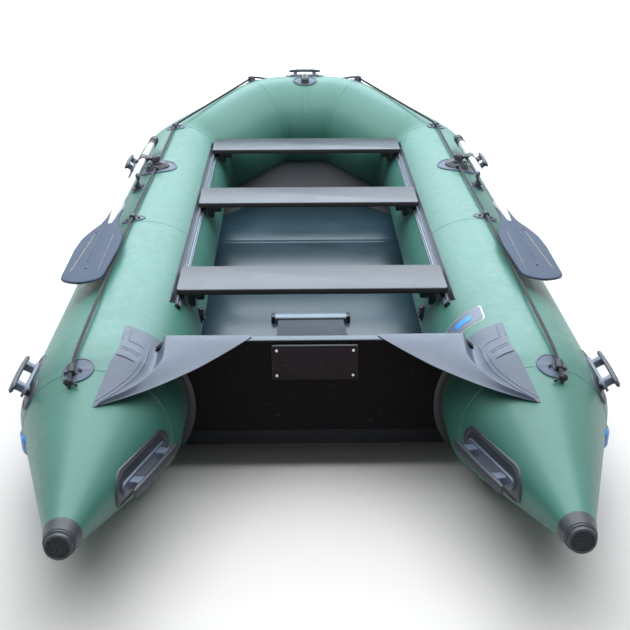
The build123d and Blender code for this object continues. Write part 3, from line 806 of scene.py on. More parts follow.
class BOAT_OT_stage(bpy.types.Operator):
    """Adds the camera, the pale floor and the soft lights"""
    bl_idname = "boat.stage"
    bl_label = "Stage"
    bl_options = {"REGISTER", "UNDO"}

    def execute(self, context):
        context.scene.view_settings.view_transform = "Standard"
        self.camera(context.scene)
        self.floor(context)
        self.world(context.scene)
        for light in SOFT_LIGHTS:
            soft_light(*light)
        return {"FINISHED"}

    def camera(self, scene):
        lens = bpy.data.cameras.new("camera")
        lens.lens = LENS
        lens.sensor_width = SENSOR
        lens.clip_end = 100
        camera = bpy.data.objects.new("camera", lens)
        scene.collection.objects.link(camera)
        camera.location = CAMERA_AT
        camera.rotation_euler = (pi / 2 - CAMERA_PITCH, 0, -CAMERA_YAW)
        scene.camera = camera

    def floor(self, context):
        """A pale floor that fades into the backdrop far from the boat."""
        deselect()
        bpy.ops.mesh.primitive_plane_add(size=FLOOR_SIZE, location=(0, FLOOR_SHIFT, 0))
        floor = context.object
        floor.name = "studio_floor"
        finish = Finish("studio_floor", 0.85)
        dust = finish.node("TexNoise", {"Scale": 2.0, "Detail": 3.0})
        pale = finish.blend(dust.outputs["Fac"], FLOOR_TONE, darker(FLOOR_TONE, 0.985))
        finish.set("Base Color", finish.blend(seen_path(finish.tree), FLOOR_BOUNCE, pale))
        place = finish.node("TexCoord").outputs["Object"]
        away = finish.node("VectorMath", {0: place, 1: (0, -FLOOR_SHIFT, 0)}, operation="DISTANCE")
        far = finish.node("MapRange", {"Value": away.outputs["Value"], "From Min": FADE_START,
                                       "From Max": FADE_END})
        glow = finish.node("Math", {0: far.outputs["Result"], 1: seen_path(finish.tree)},
                           operation="MULTIPLY")
        finish.set("Emission Color", finish.blend(glow.outputs[0], (0, 0, 0), FADE_GLOW))
        finish.set("Emission Strength", 1.0)
        floor.data.materials.append(finish.material)

    def world(self, scene):
        """Soft light from all round, behind a white backdrop."""
        world = bpy.data.worlds.new("studio")
        scene.world = world
        world.use_nodes = True
        tree = world.node_tree
        tree.nodes.clear()
        lit = add_node(tree, "Background", {"Color": SKY_TONE, "Strength": SKY_STRENGTH})
        shown = add_node(tree, "Background", {"Color": (1, 1, 1, 1), "Strength": 1.0})
        mix = add_node(tree, "MixShader", {0: seen_path(tree)})
        tree.links.new(lit.outputs[0], mix.inputs[1])
        tree.links.new(shown.outputs[0], mix.inputs[2])
        output = add_node(tree, "OutputWorld")
        tree.links.new(mix.outputs[0], output.inputs["Surface"])


# ---------------------------------------------------------------------------
# Buoyancy tubes
# ---------------------------------------------------------------------------
RING = 96                    # vertices round a tube
TAPE = 0.014                 # width of a seam's overlap
LAP_RUN = 0.002


def arc_between(before, corner, after):
    """The bend at a corner: its start, centre, axis, angle and end."""
    into = (corner - before).normalized()
    out = (after - corner).normalized()
    angle = into.angle(out)
    reach = BOW_BEND * tan(angle / 2)
    axis = into.cross(out).normalized()
    start = corner - into * reach
    return start, start + axis.cross(into) * BOW_BEND, axis, angle, corner + out * reach


SIDE_BEND = arc_between(STERN, CORNER, SHOULDER)
FRONT_BEND = arc_between(CORNER, SHOULDER, BOW)


class TubeWalk:
    """Extrudes the selected ring along the axis of the starboard tube."""

    def __init__(self):
        self.at = STERN.copy()
        self.heading = FORWARD.copy()

    def run(self, to, steps):
        move = (to - self.at) / steps
        for _ in range(steps):
            extrude(move)
        self.at = to.copy()

    def turn(self, bend, share, steps):
        centre, axis, angle = bend[1], bend[2], bend[3] * share
        bpy.ops.mesh.spin(steps=steps, angle=-angle, center=tuple(centre), axis=tuple(axis))
        swing = Matrix.Rotation(angle, 3, axis)
        self.at = centre + swing @ (self.at - centre)
        self.heading = swing @ self.heading

    def lap(self, step):
        """A short run in which the ring grows by step."""
        extrude(self.heading * LAP_RUN)
        self.at = self.at + self.heading * LAP_RUN
        factor = 1 + step / TUBE_R
        scale((factor, factor, factor), self.at)

    def seam(self, step):
        """A raised overlap across the tube."""
        self.lap(step)
        self.run(self.at + self.heading * TAPE, 1)
        self.lap(-step)


SIDE_SEAM = 0.950            # station of the seam amidships
QUARTER_SEAM = 0.45          # share of the side bend before its seam
CONE_LIP = 0.008             # fabric past the cone's end, inside its cap
SHOULDER_SEAM = 0.35         # share of the front bend before its seam
BOW_SEAM = 0.016             # half spacing of the bow's seams
CONE_TAPE = (0.066, 0.078)   # start and end of the raised joint round the cone
TAPE_STEP = 0.0015           # run of its edges
CONE_RINGS = 9


class BOAT_OT_tubes(bpy.types.Operator):
    """Builds the tubes: two stern cones, two sides and the bow in one skin"""
    bl_idname = "boat.tubes"
    bl_label = "Tubes"
    bl_options = {"REGISTER", "UNDO"}

    def execute(self, context):
        lap = context.scene.boat_sizes.lap
        deselect()
        bpy.ops.mesh.primitive_circle_add(vertices=RING, radius=TUBE_R, location=STERN,
                                          rotation=(pi / 2, 0, 0))
        skin = apply_place(context.object)
        edit(skin, "EDGE")
        walk = TubeWalk()
        walk.run(Vector((AXIS_X, y(SIDE_SEAM), TUBE_R)), 8)
        walk.seam(lap)
        walk.run(SIDE_BEND[0], 8)
        walk.turn(SIDE_BEND, QUARTER_SEAM, 6)
        walk.seam(lap)
        walk.turn(SIDE_BEND, 1 - QUARTER_SEAM, 7)
        walk.run(FRONT_BEND[0], 3)
        walk.turn(FRONT_BEND, SHOULDER_SEAM, 4)
        walk.seam(lap)
        walk.turn(FRONT_BEND, 1 - SHOULDER_SEAM, 7)
        walk.run(Vector((BOW_SEAM, BOW.y, BOW.z)), 2)
        walk.lap(lap)
        walk.run(BOW, 1)
        self.cone(lap)
        modify(skin, "MIRROR", use_axis=(True, False, False), merge_threshold=0.0008)
        mend(skin)
        nodes = [f"{side}_{part}" for side in SIDES for part in ("side_tube", "stern_cone", "bow_quarter")]
        finish_piece(skin, "tube_skin", material("tube_fabric"), nodes=[*nodes, "bow_tube"],
                     angle=28)
        return {"FINISHED"}

    def cone(self, lap):
        """Draws the first ring aft into the stern cone, with a taped joint."""
        pick(lambda co: abs(co.y - CONE_Y) < 1e-5)
        bpy.ops.mesh.select_mode(type="EDGE")
        at, radius = STERN.copy(), TUBE_R
        start, end = CONE_TAPE
        after = end + TAPE_STEP
        stops = [(0.034, 0), (start, 0), (start + TAPE_STEP, lap), (end, lap), (after, 0)]
        rest = CONE_LENGTH + CONE_LIP - after
        stops += [(after + rest * i / CONE_RINGS, 0) for i in range(1, CONE_RINGS + 1)]
        for reach, step in stops:
            centre = STERN + CONE_ALONG * reach
            wanted = TUBE_R + (CONE_END_R - TUBE_R) * reach / CONE_LENGTH + step
            extrude(centre - at)
            scale((wanted / radius,) * 3, centre)
            at, radius = centre, wanted
        bpy.ops.mesh.edge_face_add()
        done()


class BOAT_OT_strakes(bpy.types.Operator):
    """Builds the ribbed rubbing strakes round the tubes, with blue stern tabs"""
    bl_idname = "boat.strakes"
    bl_label = "Rubbing strakes"
    bl_options = {"REGISTER", "UNDO"}

    angle = radians(102)     # from the crest, so below the widest line
    tail_rise = radians(12)  # by which the tail climbs the cone
    width = 0.062
    thick = 0.009
    tail = (-0.135, -0.165, -0.195, -0.222)      # stations of the run over the cone

    def section(self, spot, angle, share=1.0):
        """Closed outline of the ribbed profile; spot(angle, lift) is a point."""
        half = self.width / 2 / TUBE_R * share
        outline = [spot(angle - half, -0.001), spot(angle + half, -0.001)]
        count = 22
        for i in range(count + 1):
            u = 1 - 2 * i / count
            flank = min(1, (1 - abs(u)) * 6)
            ridges = 0.5 + 0.5 * cos(u * 3 * 2 * pi)
            outline.append(spot(angle + half * u, (0.55 + 0.40 * ridges) * self.thick * flank))
        return outline

    def execute(self, context):
        stern = CONE_Y - TRANSOM_Y
        outline = self.section(lambda a, lift: skin_point(stern, a, lift), self.angle)
        deselect()
        bpy.ops.mesh.primitive_circle_add(vertices=len(outline), radius=1)
        strake = context.object
        for vert, point in zip(strake.data.vertices, outline):
            vert.co = point
        edit(strake, "EDGE")
        walk = TubeWalk()
        walk.run(SIDE_BEND[0], 12)
        walk.turn(SIDE_BEND, 1, 14)
        walk.run(FRONT_BEND[0], 3)
        walk.turn(FRONT_BEND, 1, 12)
        walk.run(BOW, 3)
        pick(lambda co: abs(co.y - CONE_Y) < 1e-5)
        bpy.ops.mesh.select_mode(type="EDGE")
        at = stern
        for i, station in enumerate(self.tail):
            extrude((0, station - at, 0))
            at = station
            lean = self.angle - self.tail_rise * (i + 1) / len(self.tail)
            ring = self.section(lambda a, lift: cone_point(station, a, lift), lean, 1 - 0.05 * i)
            mesh = bmesh.from_edit_mesh(strake.data)
            chosen = sorted((v for v in mesh.verts if v.select), key=lambda v: v.index)
            for vert, point in zip(chosen, ring):
                vert.co = point
            bmesh.update_edit_mesh(strake.data)
        bpy.ops.mesh.edge_face_add()
        done()
        modify(strake, "MIRROR", use_axis=(True, False, False), merge_threshold=0.0005)
        mend(strake)
        tabs = self.tabs()
        finish_piece(strake, "rub_strakes", material("strake_rubber"),
                     nodes=["port_rub_strake", "starboard_rub_strake"], angle=50)
        finish_piece(tabs, "strake_tabs", material("accent_plastic"))
        return {"FINISHED"}

    def tabs(self):
        """Smooth blue end pieces that close the strakes' stern ends."""
        start, end = self.tail[-1] + 0.004, self.tail[-1] - 0.034
        lean = self.angle - self.tail_rise
        rings = []
        for i, lift in enumerate((0.0105, 0.0105, 0.010, 0.008, 0.002)):
            station = start + (end - start) * i / 4
            rings.append([cone_point(station, lean + a, h) for a, h in
                          ((-0.13, -0.002), (-0.13, lift * 0.5), (-0.09, lift), (0.09, lift),
                           (0.13, lift * 0.5), (0.13, -0.002))])
        tab = skin_of(rings, "tab")
        bevel(tab, 0.002, 3, 20)
        return both_sides(tab)


def skin_of(rings, name, closed_ends=True):
    """A closed mesh through rings of matching points."""
    across = len(rings[0])
    faces = []
    for row in range(len(rings) - 1):
        for i in range(across):
            a, b = row * across + i, row * across + (i + 1) % across
            faces.append((a, b, b + across, a + across))
    if closed_ends:
        faces.append(tuple(range(across))[::-1])
        faces.append(tuple(range((len(rings) - 1) * across, len(rings) * across)))
    return mend(mesh_object(name, [point for row in rings for point in row], faces))


def sheet_mesh(rings, name):
    """An open sheet through rows of matching points, facing up."""
    across = len(rings[0])
    faces = [(r * across + i, r * across + i + 1, (r + 1) * across + i + 1, (r + 1) * across + i)
             for r in range(len(rings) - 1) for i in range(across - 1)]
    obj = mesh_object(name, [point for row in rings for point in row], faces)
    edit(obj)
    bpy.ops.mesh.remove_doubles(threshold=0.0001)
    bpy.ops.mesh.dissolve_degenerate(threshold=0.00002)
    bpy.ops.mesh.normals_make_consistent(inside=False)
    done()
    if sum(face.normal.z * face.area for face in obj.data.polygons) < 0:
        edit(obj)
        bpy.ops.mesh.flip_normals()
        done()
    return obj


# ---------------------------------------------------------------------------
# Seat rails
# ---------------------------------------------------------------------------
BED_ANGLE = radians(-46.0)   # from the tube's crest towards the middle plane
CHANNEL_ANGLE = radians(-48.8)
rail_low, rail_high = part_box("starboard_seat_rail")
RAIL_LENGTH = rail_high.y - rail_low.y
RAIL_STATION = rail_low.y - TRANSOM_Y
# Sections across the rail: distance round the skin towards the middle plane
# from the bed's middle, then height out of the skin.
RAIL_BED = [(-0.0210, -0.001), (0.0210, -0.001), (0.0210, 0.0016), (0.0060, 0.0019), (0.0040, 0.0023),
            (-0.0040, 0.0022), (-0.0165, 0.0022), (-0.0178, 0.0027), (-0.0200, 0.0027), (-0.0210, 0.0016)]
# The channel's section: from its middle towards the middle plane, then height.
RAIL_CHANNEL = [(-0.0103, -0.0030), (0.0103, -0.0030), (0.0103, 0.0108), (0.0062, 0.0108), (0.0062, 0.0094),
                (0.0088, 0.0094), (0.0088, 0.0052), (0.0048, 0.0052), (0.0042, 0.0064), (0.0028, 0.0064),
                (0.0022, 0.0052), (-0.0022, 0.0052), (-0.0028, 0.0064), (-0.0042, 0.0064), (-0.0048, 0.0052),
                (-0.0088, 0.0052), (-0.0088, 0.0094), (-0.0062, 0.0094), (-0.0062, 0.0108), (-0.0103, 0.0108)]


def on_bed(across, lift, station):
    return tube_frame(station, BED_ANGLE - across / TUBE_R, lift).translation


def on_channel(across, lift, station):
    return tube_frame(station, CHANNEL_ANGLE) @ Vector((0, across, lift))


def rail_run(section, spot, start, end, slant=0.0):
    """Draws a section along the tube; slant moves the start with the distance across."""
    rings = [[spot(across, lift, start + slant * (0.025 + across)) for across, lift in section],
             [spot(across, lift, end) for across, lift in section]]
    return skin_of(rings, "rail")


class BOAT_OT_seat_rails(bpy.types.Operator):
    """Builds the seat rails: a glued bed, a grooved channel, moulded end stops and dark bed ends of painted
    shade
    """
    bl_idname = "boat.seat_rails"
    bl_label = "Seat rails"
    bl_options = {"REGISTER", "UNDO"}

    end_piece = 0.080        # length of each end of the bed that is painted dark as shade

    def execute(self, context):
        start, end = RAIL_STATION, RAIL_STATION + RAIL_LENGTH
        bed = bevel(rail_run(RAIL_BED, on_bed, start + self.end_piece, end - self.end_piece), 0.0003, 1, 30)
        finish_piece(both_sides(bed), "rail_beds", material("rail_band"),
                     nodes=["port_seat_rail", "starboard_seat_rail"], angle=40)
        channel = rail_run(RAIL_CHANNEL, on_channel, start + 0.012, end - 0.012)
        finish_piece(both_sides(bevel(channel, 0.0003, 1, 40)), "rail_channels", material("rail_metal"))
        # The bed's ends are covered again in near black: painted shade. The plugs are the channel's moulded
        # stops.
        dark = [(across * 1.004, lift * 1.05) for across, lift in RAIL_BED]
        ends = [rail_run(dark, on_bed, start, start + self.end_piece, 0.9),
                rail_run(dark, on_bed, end - self.end_piece, end)]
        ends = [bevel(end_piece, 0.0005, 2, 40) for end_piece in ends]
        plugs = [self.plug(start + 0.004), self.plug(end - 0.014)]
        finish_piece(both_sides(join(ends + plugs)), "rail_ends", material("rail_profile"),
                     angle=50)
        return {"FINISHED"}

    def plug(self, station):
        """The moulded stop in the channel's end."""
        block_ = block((0.010, 0.0196, 0.0118), (0.005, 0, 0.0046))
        return bevel(apply_place(block_, tube_frame(station, CHANNEL_ANGLE)), 0.001, 2, 30)


# ---------------------------------------------------------------------------
# Benches
# ---------------------------------------------------------------------------
class BOAT_OT_benches(bpy.types.Operator):
    """Builds the three sliding benches with their clamps and bolts"""
    bl_idname = "boat.benches"
    bl_label = "Benches"
    bl_options = {"REGISTER", "UNDO"}

    corner = 0.012
    edge = 0.0028
    clamp_inset = 0.030      # from the board's edge to the clamp's middle

    def execute(self, context):
        for name in ("rear", "middle", "front"):
            low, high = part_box(f"{name}_bench_board")
            self.board(name, low, high)
            self.fittings(name, low, high)
        return {"FINISHED"}

    def board(self, name, low, high):
        half = (high - low) / 2
        board = plate(rounded_box(half.x, half.y, self.corner, 6), high.z - low.z, "board")
        board = apply_place(board, Matrix.Translation((0, (low.y + high.y) / 2, low.z)))
        bevel(board, self.edge, 3, 60)
        board = finish_piece(board, f"{name}_bench", material("bench_film"),
                             f"{name}_bench", [f"{name}_bench_board"], 50)
        paint_faces(board, material("bench_edge"),
                    lambda face: face.calc_center_median().z < high.z - self.edge * 0.9)

    def fittings(self, name, low, high):
        hooks, bolts = self.clamp(low.z), self.bolts()
        middle, reach = (low.y + high.y) / 2, (high.y - low.y) / 2 - self.clamp_inset
        for made, label, finish, slot in ((hooks, "hooks", "black_rubber", "moulded_rubber"),
                                          (bolts, "bolts", "dark_steel", "steel_pin")):
            copies = []
            for end in (1, -1):
                move = Matrix.Translation((0, middle + end * reach, 0))
                copies.append(copy_of(made, move @ Matrix.Diagonal((1, end, 1, 1))))
            discard(made)
            finish_piece(both_sides(mend(join(copies))), f"{name}_bench_{label}", material(finish),
                         f"{name}_bench", [f"{name}_bench_clamps"] if label == "hooks" else (), 40)

    def clamp(self, under):
        """A moulded hook under the board's end, with a rib and a slider."""
        section = [(0.348, under), (0.405, under), (0.405, 0.363), (0.395, 0.3525), (0.381, 0.3525),
                   (0.381, under - 0.012), (0.376, under - 0.007), (0.348, under - 0.005)]
        hook = plate(section, 0.044, "hook")
        hook = apply_place(hook, Matrix.Translation((0, 0.022, 0)) @ Matrix.Rotation(pi / 2, 4, "X"))
        bevel(hook, 0.0018, 2, 30)
        ribs = [block((0.026, 0.003, 0.018), (0.366, at, under - 0.0135)) for at in (-0.014, 0, 0.014)]
        ribs = [bevel(rib, 0.001, 2, 30) for rib in ribs]
        pad = bevel(block((0.030, 0.052, 0.004), (0.366, 0, under - 0.0045)), 0.0012, 2, 30)
        return join([hook, *ribs, pad])

    def bolts(self):
        """Bolt heads under the clamp and a screw on its side."""
        made = []
        for at in (-0.0135, 0.0135):
            head = lathe([(0.0052, 0), (0.0056, -0.0008), (0.0056, -0.0030), (0.0030, -0.0044)], 24, "head")
            made.append(apply_place(head, Matrix.Translation((0.393, at, 0.3525))))
        side = lathe([(0.0048, 0), (0.0052, 0.0006), (0.0042, 0.0030), (0.0016, 0.0040)], 24, "side")
        outward = Matrix.Translation((0.405, 0, 0.374)) @ Matrix.Rotation(pi / 2, 4, "Y")
        made.append(apply_place(side, outward))
        return join([mend(head) for head in made])


# ---------------------------------------------------------------------------
# Transom, floor and knee board
# ---------------------------------------------------------------------------
def screw(radius, rise):
    """A pan-head screw with a cross recess, its head's foot on z = 0."""
    head = lathe([(radius, 0), (radius, rise * 0.4), (radius * 0.86, rise * 0.8), (radius * 0.55, rise)],
                 24, "screw")
    recess = [bevel(block((radius * 1.0, radius * 0.2, 0.0003), (0, 0, rise), (0, 0, turn)), 0.0001, 1, 30)
              for turn in (0, pi / 2)]
    return join([head, *recess])


def aft_face(x, z, lift=0.0):
    """Frame on the transom's outer face, z pointing aft."""
    return axes(Vector((x, TRANSOM_Y - lift, z)), Vector((1, 0, 0)), Vector((0, -1, 0)))


class BOAT_OT_transom(bpy.types.Operator):
    """Dresses the transom: film, edge strip, glued tapes, plate and screws"""
    bl_idname = "boat.transom"
    bl_label = "Transom"
    bl_options = {"REGISTER", "UNDO"}

    tape_inner = 0.011       # from the tube's skin to the tape's first ridge
    tape_outer = 0.027       # to the tape's edge
    tape_top = 0.398
    foot_strip = 0.048       # height of the strip along the foot

    def execute(self, context):
        cloth = context.scene.boat_sizes.cloth
        low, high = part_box("transom_board")
        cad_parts["transom_board"].data.materials.clear()
        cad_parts["transom_board"].data.materials.append(material("transom_film"))
        self.tapes(cloth, low)
        self.edge_strip(high)
        self.motor_plate()
        return {"FINISHED"}

    def sweep_tape(self, inner, outer, face_y, thick, low, high):
        """A flat tape on the board that follows the starboard tube's circle."""
        middle, steps = (inner + outer) / 2, 40
        first = asin((high - TUBE_R) / (TUBE_R + middle))
        last = asin((low - TUBE_R) / (TUBE_R + middle))
        rings = []
        for i in range(steps + 1):
            a = first + (last - first) * i / steps
            for_ring = []
            for reach, rise in ((inner, 0), (outer, 0), (outer, thick * 0.6), (outer - 0.001, thick),
                                (inner + 0.001, thick), (inner, thick * 0.6)):
                spread = TUBE_R + reach
                for_ring.append(Vector((AXIS_X - spread * cos(a), face_y + rise, TUBE_R + spread * sin(a))))
            rings.append(for_ring)
        return skin_of(rings, "tape")

    def tapes(self, cloth, low):
        out, inside = TRANSOM_Y, TRANSOM_Y + TRANSOM_THICK
        made = []
        for face, thick in ((out, -cloth), (inside, cloth)):
            made.append(self.sweep_tape(-0.004, self.tape_outer, face, thick, low.z + 0.002, self.tape_top))
            made.append(self.sweep_tape(-0.004, self.tape_inner, face, thick * 2.1, low.z + 0.002,
                                        self.tape_top + 0.004))
        tapes = both_sides(join(made))
        half = 0.432
        foot = plate([(-half, low.z), (half, low.z), (half - 0.001, low.z + self.foot_strip),
                      (-half + 0.001, low.z + self.foot_strip)], cloth * 0.9, "foot")
        apply_place(foot, Matrix.Translation((0, TRANSOM_Y, 0)) @ Matrix.Rotation(pi / 2, 4, "X"))
        under = block((2 * half, TRANSOM_THICK + 2 * cloth * 0.9, 0.0016),
                      (0, TRANSOM_Y + TRANSOM_THICK / 2, low.z - 0.0008))
        foot = bevel(join([foot, under]), 0.0005, 2, 40)
        finish_piece(tapes, "transom_tapes", material("black_fabric"), angle=40)
        finish_piece(foot, "transom_foot", material("foot_rubber"), angle=40)

    def edge_strip(self, high):
        cap_low, cap_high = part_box("transom_cap")
        thick = cap_high.z - high.z
        y0, y1, drop = cap_low.y, cap_high.y, cap_low.z
        section = [(y0, drop), (y0, cap_high.z), (y1, cap_high.z), (y1, drop), (y1 - thick, drop),
                   (y1 - thick, high.z), (y0 + thick, high.z), (y0 + thick, drop)]
        strip = plate(section, cap_high.x - cap_low.x, "strip")
        strip = bevel(mend(apply_place(strip, across_boat(cap_low.x))), 0.0005, 2, 40)
        finish_piece(strip, "transom_strip", material("transom_edge"), nodes=["transom_cap"],
                     angle=50)

    def motor_plate(self):
        low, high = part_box("outer_motor_plate")
        half, thick = (high - low) / 2, high.y - low.y
        board = plate(rounded_box(half.x, half.z, 0.006), thick, "plate")
        board = apply_place(board, aft_face(0, (low.z + high.z) / 2))
        bevel(board, 0.0012, 3, 50)
        board = finish_piece(board, "motor_plate", material("plate_film"),
                             nodes=["outer_motor_plate"], angle=50)
        # The plate's edges get a pale finish: a painted highlight.
        paint_faces(board, material("plate_edge_highlight"), lambda face: abs(face.normal.y) < 0.8)
        model = screw(0.0044, 0.0020)
        spots = [(side * (half.x - 0.0135), level) for side in (-1, 1)
                 for level in (high.z - 0.016, low.z + 0.0135)]
        screws = [copy_of(model, aft_face(x, z, thick)) for x, z in spots]
        discard(model)
        finish_piece(join(screws), "plate_screws", material("steel"))


class BOAT_OT_deck(bpy.types.Operator):
    """Finishes the floor, the bottom, the knee board and its channel"""
    bl_idname = "boat.deck"
    bl_label = "Deck and knee board"
    bl_options = {"REGISTER", "UNDO"}

    joints = (0.560, 1.090, 1.620)       # stations between the panels
    gap = 0.002                          # from a joint's middle to its panels
    taper_start = 1.960                  # station where the front panel narrows
    front_half = 0.250                   # half width of its front edge

    def execute(self, context):
        self.floor()
        self.bottom()
        self.knee_board()
        self.channel()
        return {"FINISHED"}

    def floor(self):
        """Four deck panels with the joints' profiles between them."""
        low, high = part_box("floor_deck")
        joints = [y(station) for station in self.joints]
        taper, end_half = y(self.taper_start), self.front_half
        edges = [low.y, *joints, high.y]
        made, bars = [], []
        for back, front in zip(edges, edges[1:]):
            outline = [(low.x, back + self.gap), (high.x, back + self.gap)]
            if front > taper:
                outline += [(high.x, taper), (end_half, front), (-end_half, front), (low.x, taper)]
            else:
                outline += [(high.x, front - self.gap), (low.x, front - self.gap)]
            panel = apply_place(plate(outline, high.z - low.z, "deck"), Matrix.Translation((0, 0, low.z)))
            made.append(bevel(panel, 0.0015, 2, 30))
        for joint in joints:
            bars.append(block((high.x - low.x - 0.004, 0.034, 0.0016), (0, joint, high.z - 0.0002)))
            bars.append(block((high.x - low.x - 0.004, 0.0039, high.z - low.z - 0.002),
                              (0, joint, (low.z + high.z) / 2 - 0.001)))
        finish_piece(join(made), "deck_panels", material("deck_panel"), nodes=["floor_deck"],
                     angle=50)
        finish_piece(join([bevel(bar, 0.0005, 2, 30) for bar in bars]), "deck_joints", material("deck_panel"),
                     angle=50)

    def bottom(self):
        """Fabric between the tubes, drawn tight over a keel; its edges end inside the tubes."""
        steps = 40
        rings = []
        for station, half, edge, keel in self.bottom_rows():
            shares = [-1 + 2 * i / steps for i in range(steps + 1)]
            rings.append([Vector((half * u, y(station), keel + (edge - keel) * abs(u) ** 1.15 + 0.0035))
                          for u in shares])
        cloth = sheet_mesh(rings, "bottom")
        modify(cloth, "SOLIDIFY", thickness=0.0024, offset=0.0)
        cloth = finish_piece(cloth, "bottom_cloth", material("bottom_fabric"),
                             nodes=["bottom_skin"], angle=60)

    def bottom_rows(self):
        """Sections of the bottom: station, half width, edge and keel height."""
        given = ((0.003, 0.550, 0.0865, 0.0840), (0.900, 0.550, 0.0700, 0.0240),
                 (2.080, 0.560, 0.0700, 0.0360), (2.690, 0.175, 0.2620, 0.2580))
        rows = []
        for first, last in zip(given, given[1:]):
            count = 12
            rows += [[a + (b - a) * i / count for a, b in zip(first, last)] for i in range(count)]
        return rows + [list(given[-1])]

    def knee_board(self):
        low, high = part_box("knee_board")
        thick = 0.015
        top = Vector((0, low.y, high.z))
        foot = Vector((0, high.y, low.z + thick))
        along = (foot - top).normalized()
        starboard = Vector((1, 0, 0))
        place_ = axes(top.lerp(foot, 0.5), starboard, starboard.cross(along))
        board = plate(rounded_box(high.x, (foot - top).length / 2 - 0.001, 0.004), -thick * 0.96, "knee")
        board = bevel(mend(apply_place(board, place_)), 0.0012, 2, 50)
        finish_piece(board, "knee_panel", material("knee_film"), nodes=["knee_board"],
                     angle=50)

    def channel(self):
        low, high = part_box("knee_channel")
        back, front, floor, top = low.y, high.y, low.z, high.z
        section = [(back, floor), (back, top - 0.006), (back + 0.006, top), (front - 0.006, top),
                   (front, top - 0.006), (front, floor)]
        bar = plate(section, high.x - low.x, "channel")
        bar = bevel(mend(apply_place(bar, across_boat(low.x))), 0.0015, 2, 30)
        finish_piece(bar, "knee_bar", material("knee_metal"), nodes=["knee_channel"],
                     angle=50)
        ends = [block((0.014, front - back + 0.002, top - floor + 0.002),
                      (side * (high.x - 0.0065), (back + front) / 2, (floor + top) / 2)) for side in (-1, 1)]
        finish_piece(join([bevel(end, 0.0015, 2, 30) for end in ends]), "knee_brackets",
                     material("black_rubber"), angle=50)


# ---------------------------------------------------------------------------
# Splash skirts
# ---------------------------------------------------------------------------
# Each row: station, then x of the free edge, x and z of the fold, x of the
# welt on the tube, and x of the patch's outer edge.
SKIRT_TIP = (-0.3340, 0.5795)
SKIRT_ROWS = (
    (0.0250, 0.1750, 0.4300, 0.4440, 0.4640, 0.5510),
    (-0.0060, 0.1970, 0.4280, 0.4440, 0.4680, 0.5500),
    (-0.0400, 0.2300, 0.4250, 0.4430, 0.4700, 0.5490),
    (-0.0700, 0.2590, 0.4230, 0.4420, 0.4700, 0.5490),
    (-0.1000, 0.2890, 0.4220, 0.4400, 0.4710, 0.5540),
    (-0.1300, 0.3180, 0.4280, 0.4380, 0.4770, 0.5585),
    (-0.1600, 0.3520, 0.4380, 0.4360, 0.4850, 0.5625),
    (-0.1900, 0.3860, 0.4520, 0.4340, 0.4960, 0.5660),
    (-0.2200, 0.4200, 0.4670, 0.4320, 0.5100, 0.5690),
    (-0.2500, 0.4570, 0.4850, 0.4310, 0.5240, 0.5720),
    (-0.2800, 0.4980, 0.5130, 0.4300, 0.5430, 0.5750),
    (-0.3100, 0.5420, 0.5500, 0.4285, 0.5640, 0.5780),
)


def free_edge_z(station):
    """Height of the sheet's free edge, which droops a little aft."""
    return 0.4425 - 0.078 * max(0, -station) - 0.010 * sin(pi * min(1, max(0, -station) / 0.34))


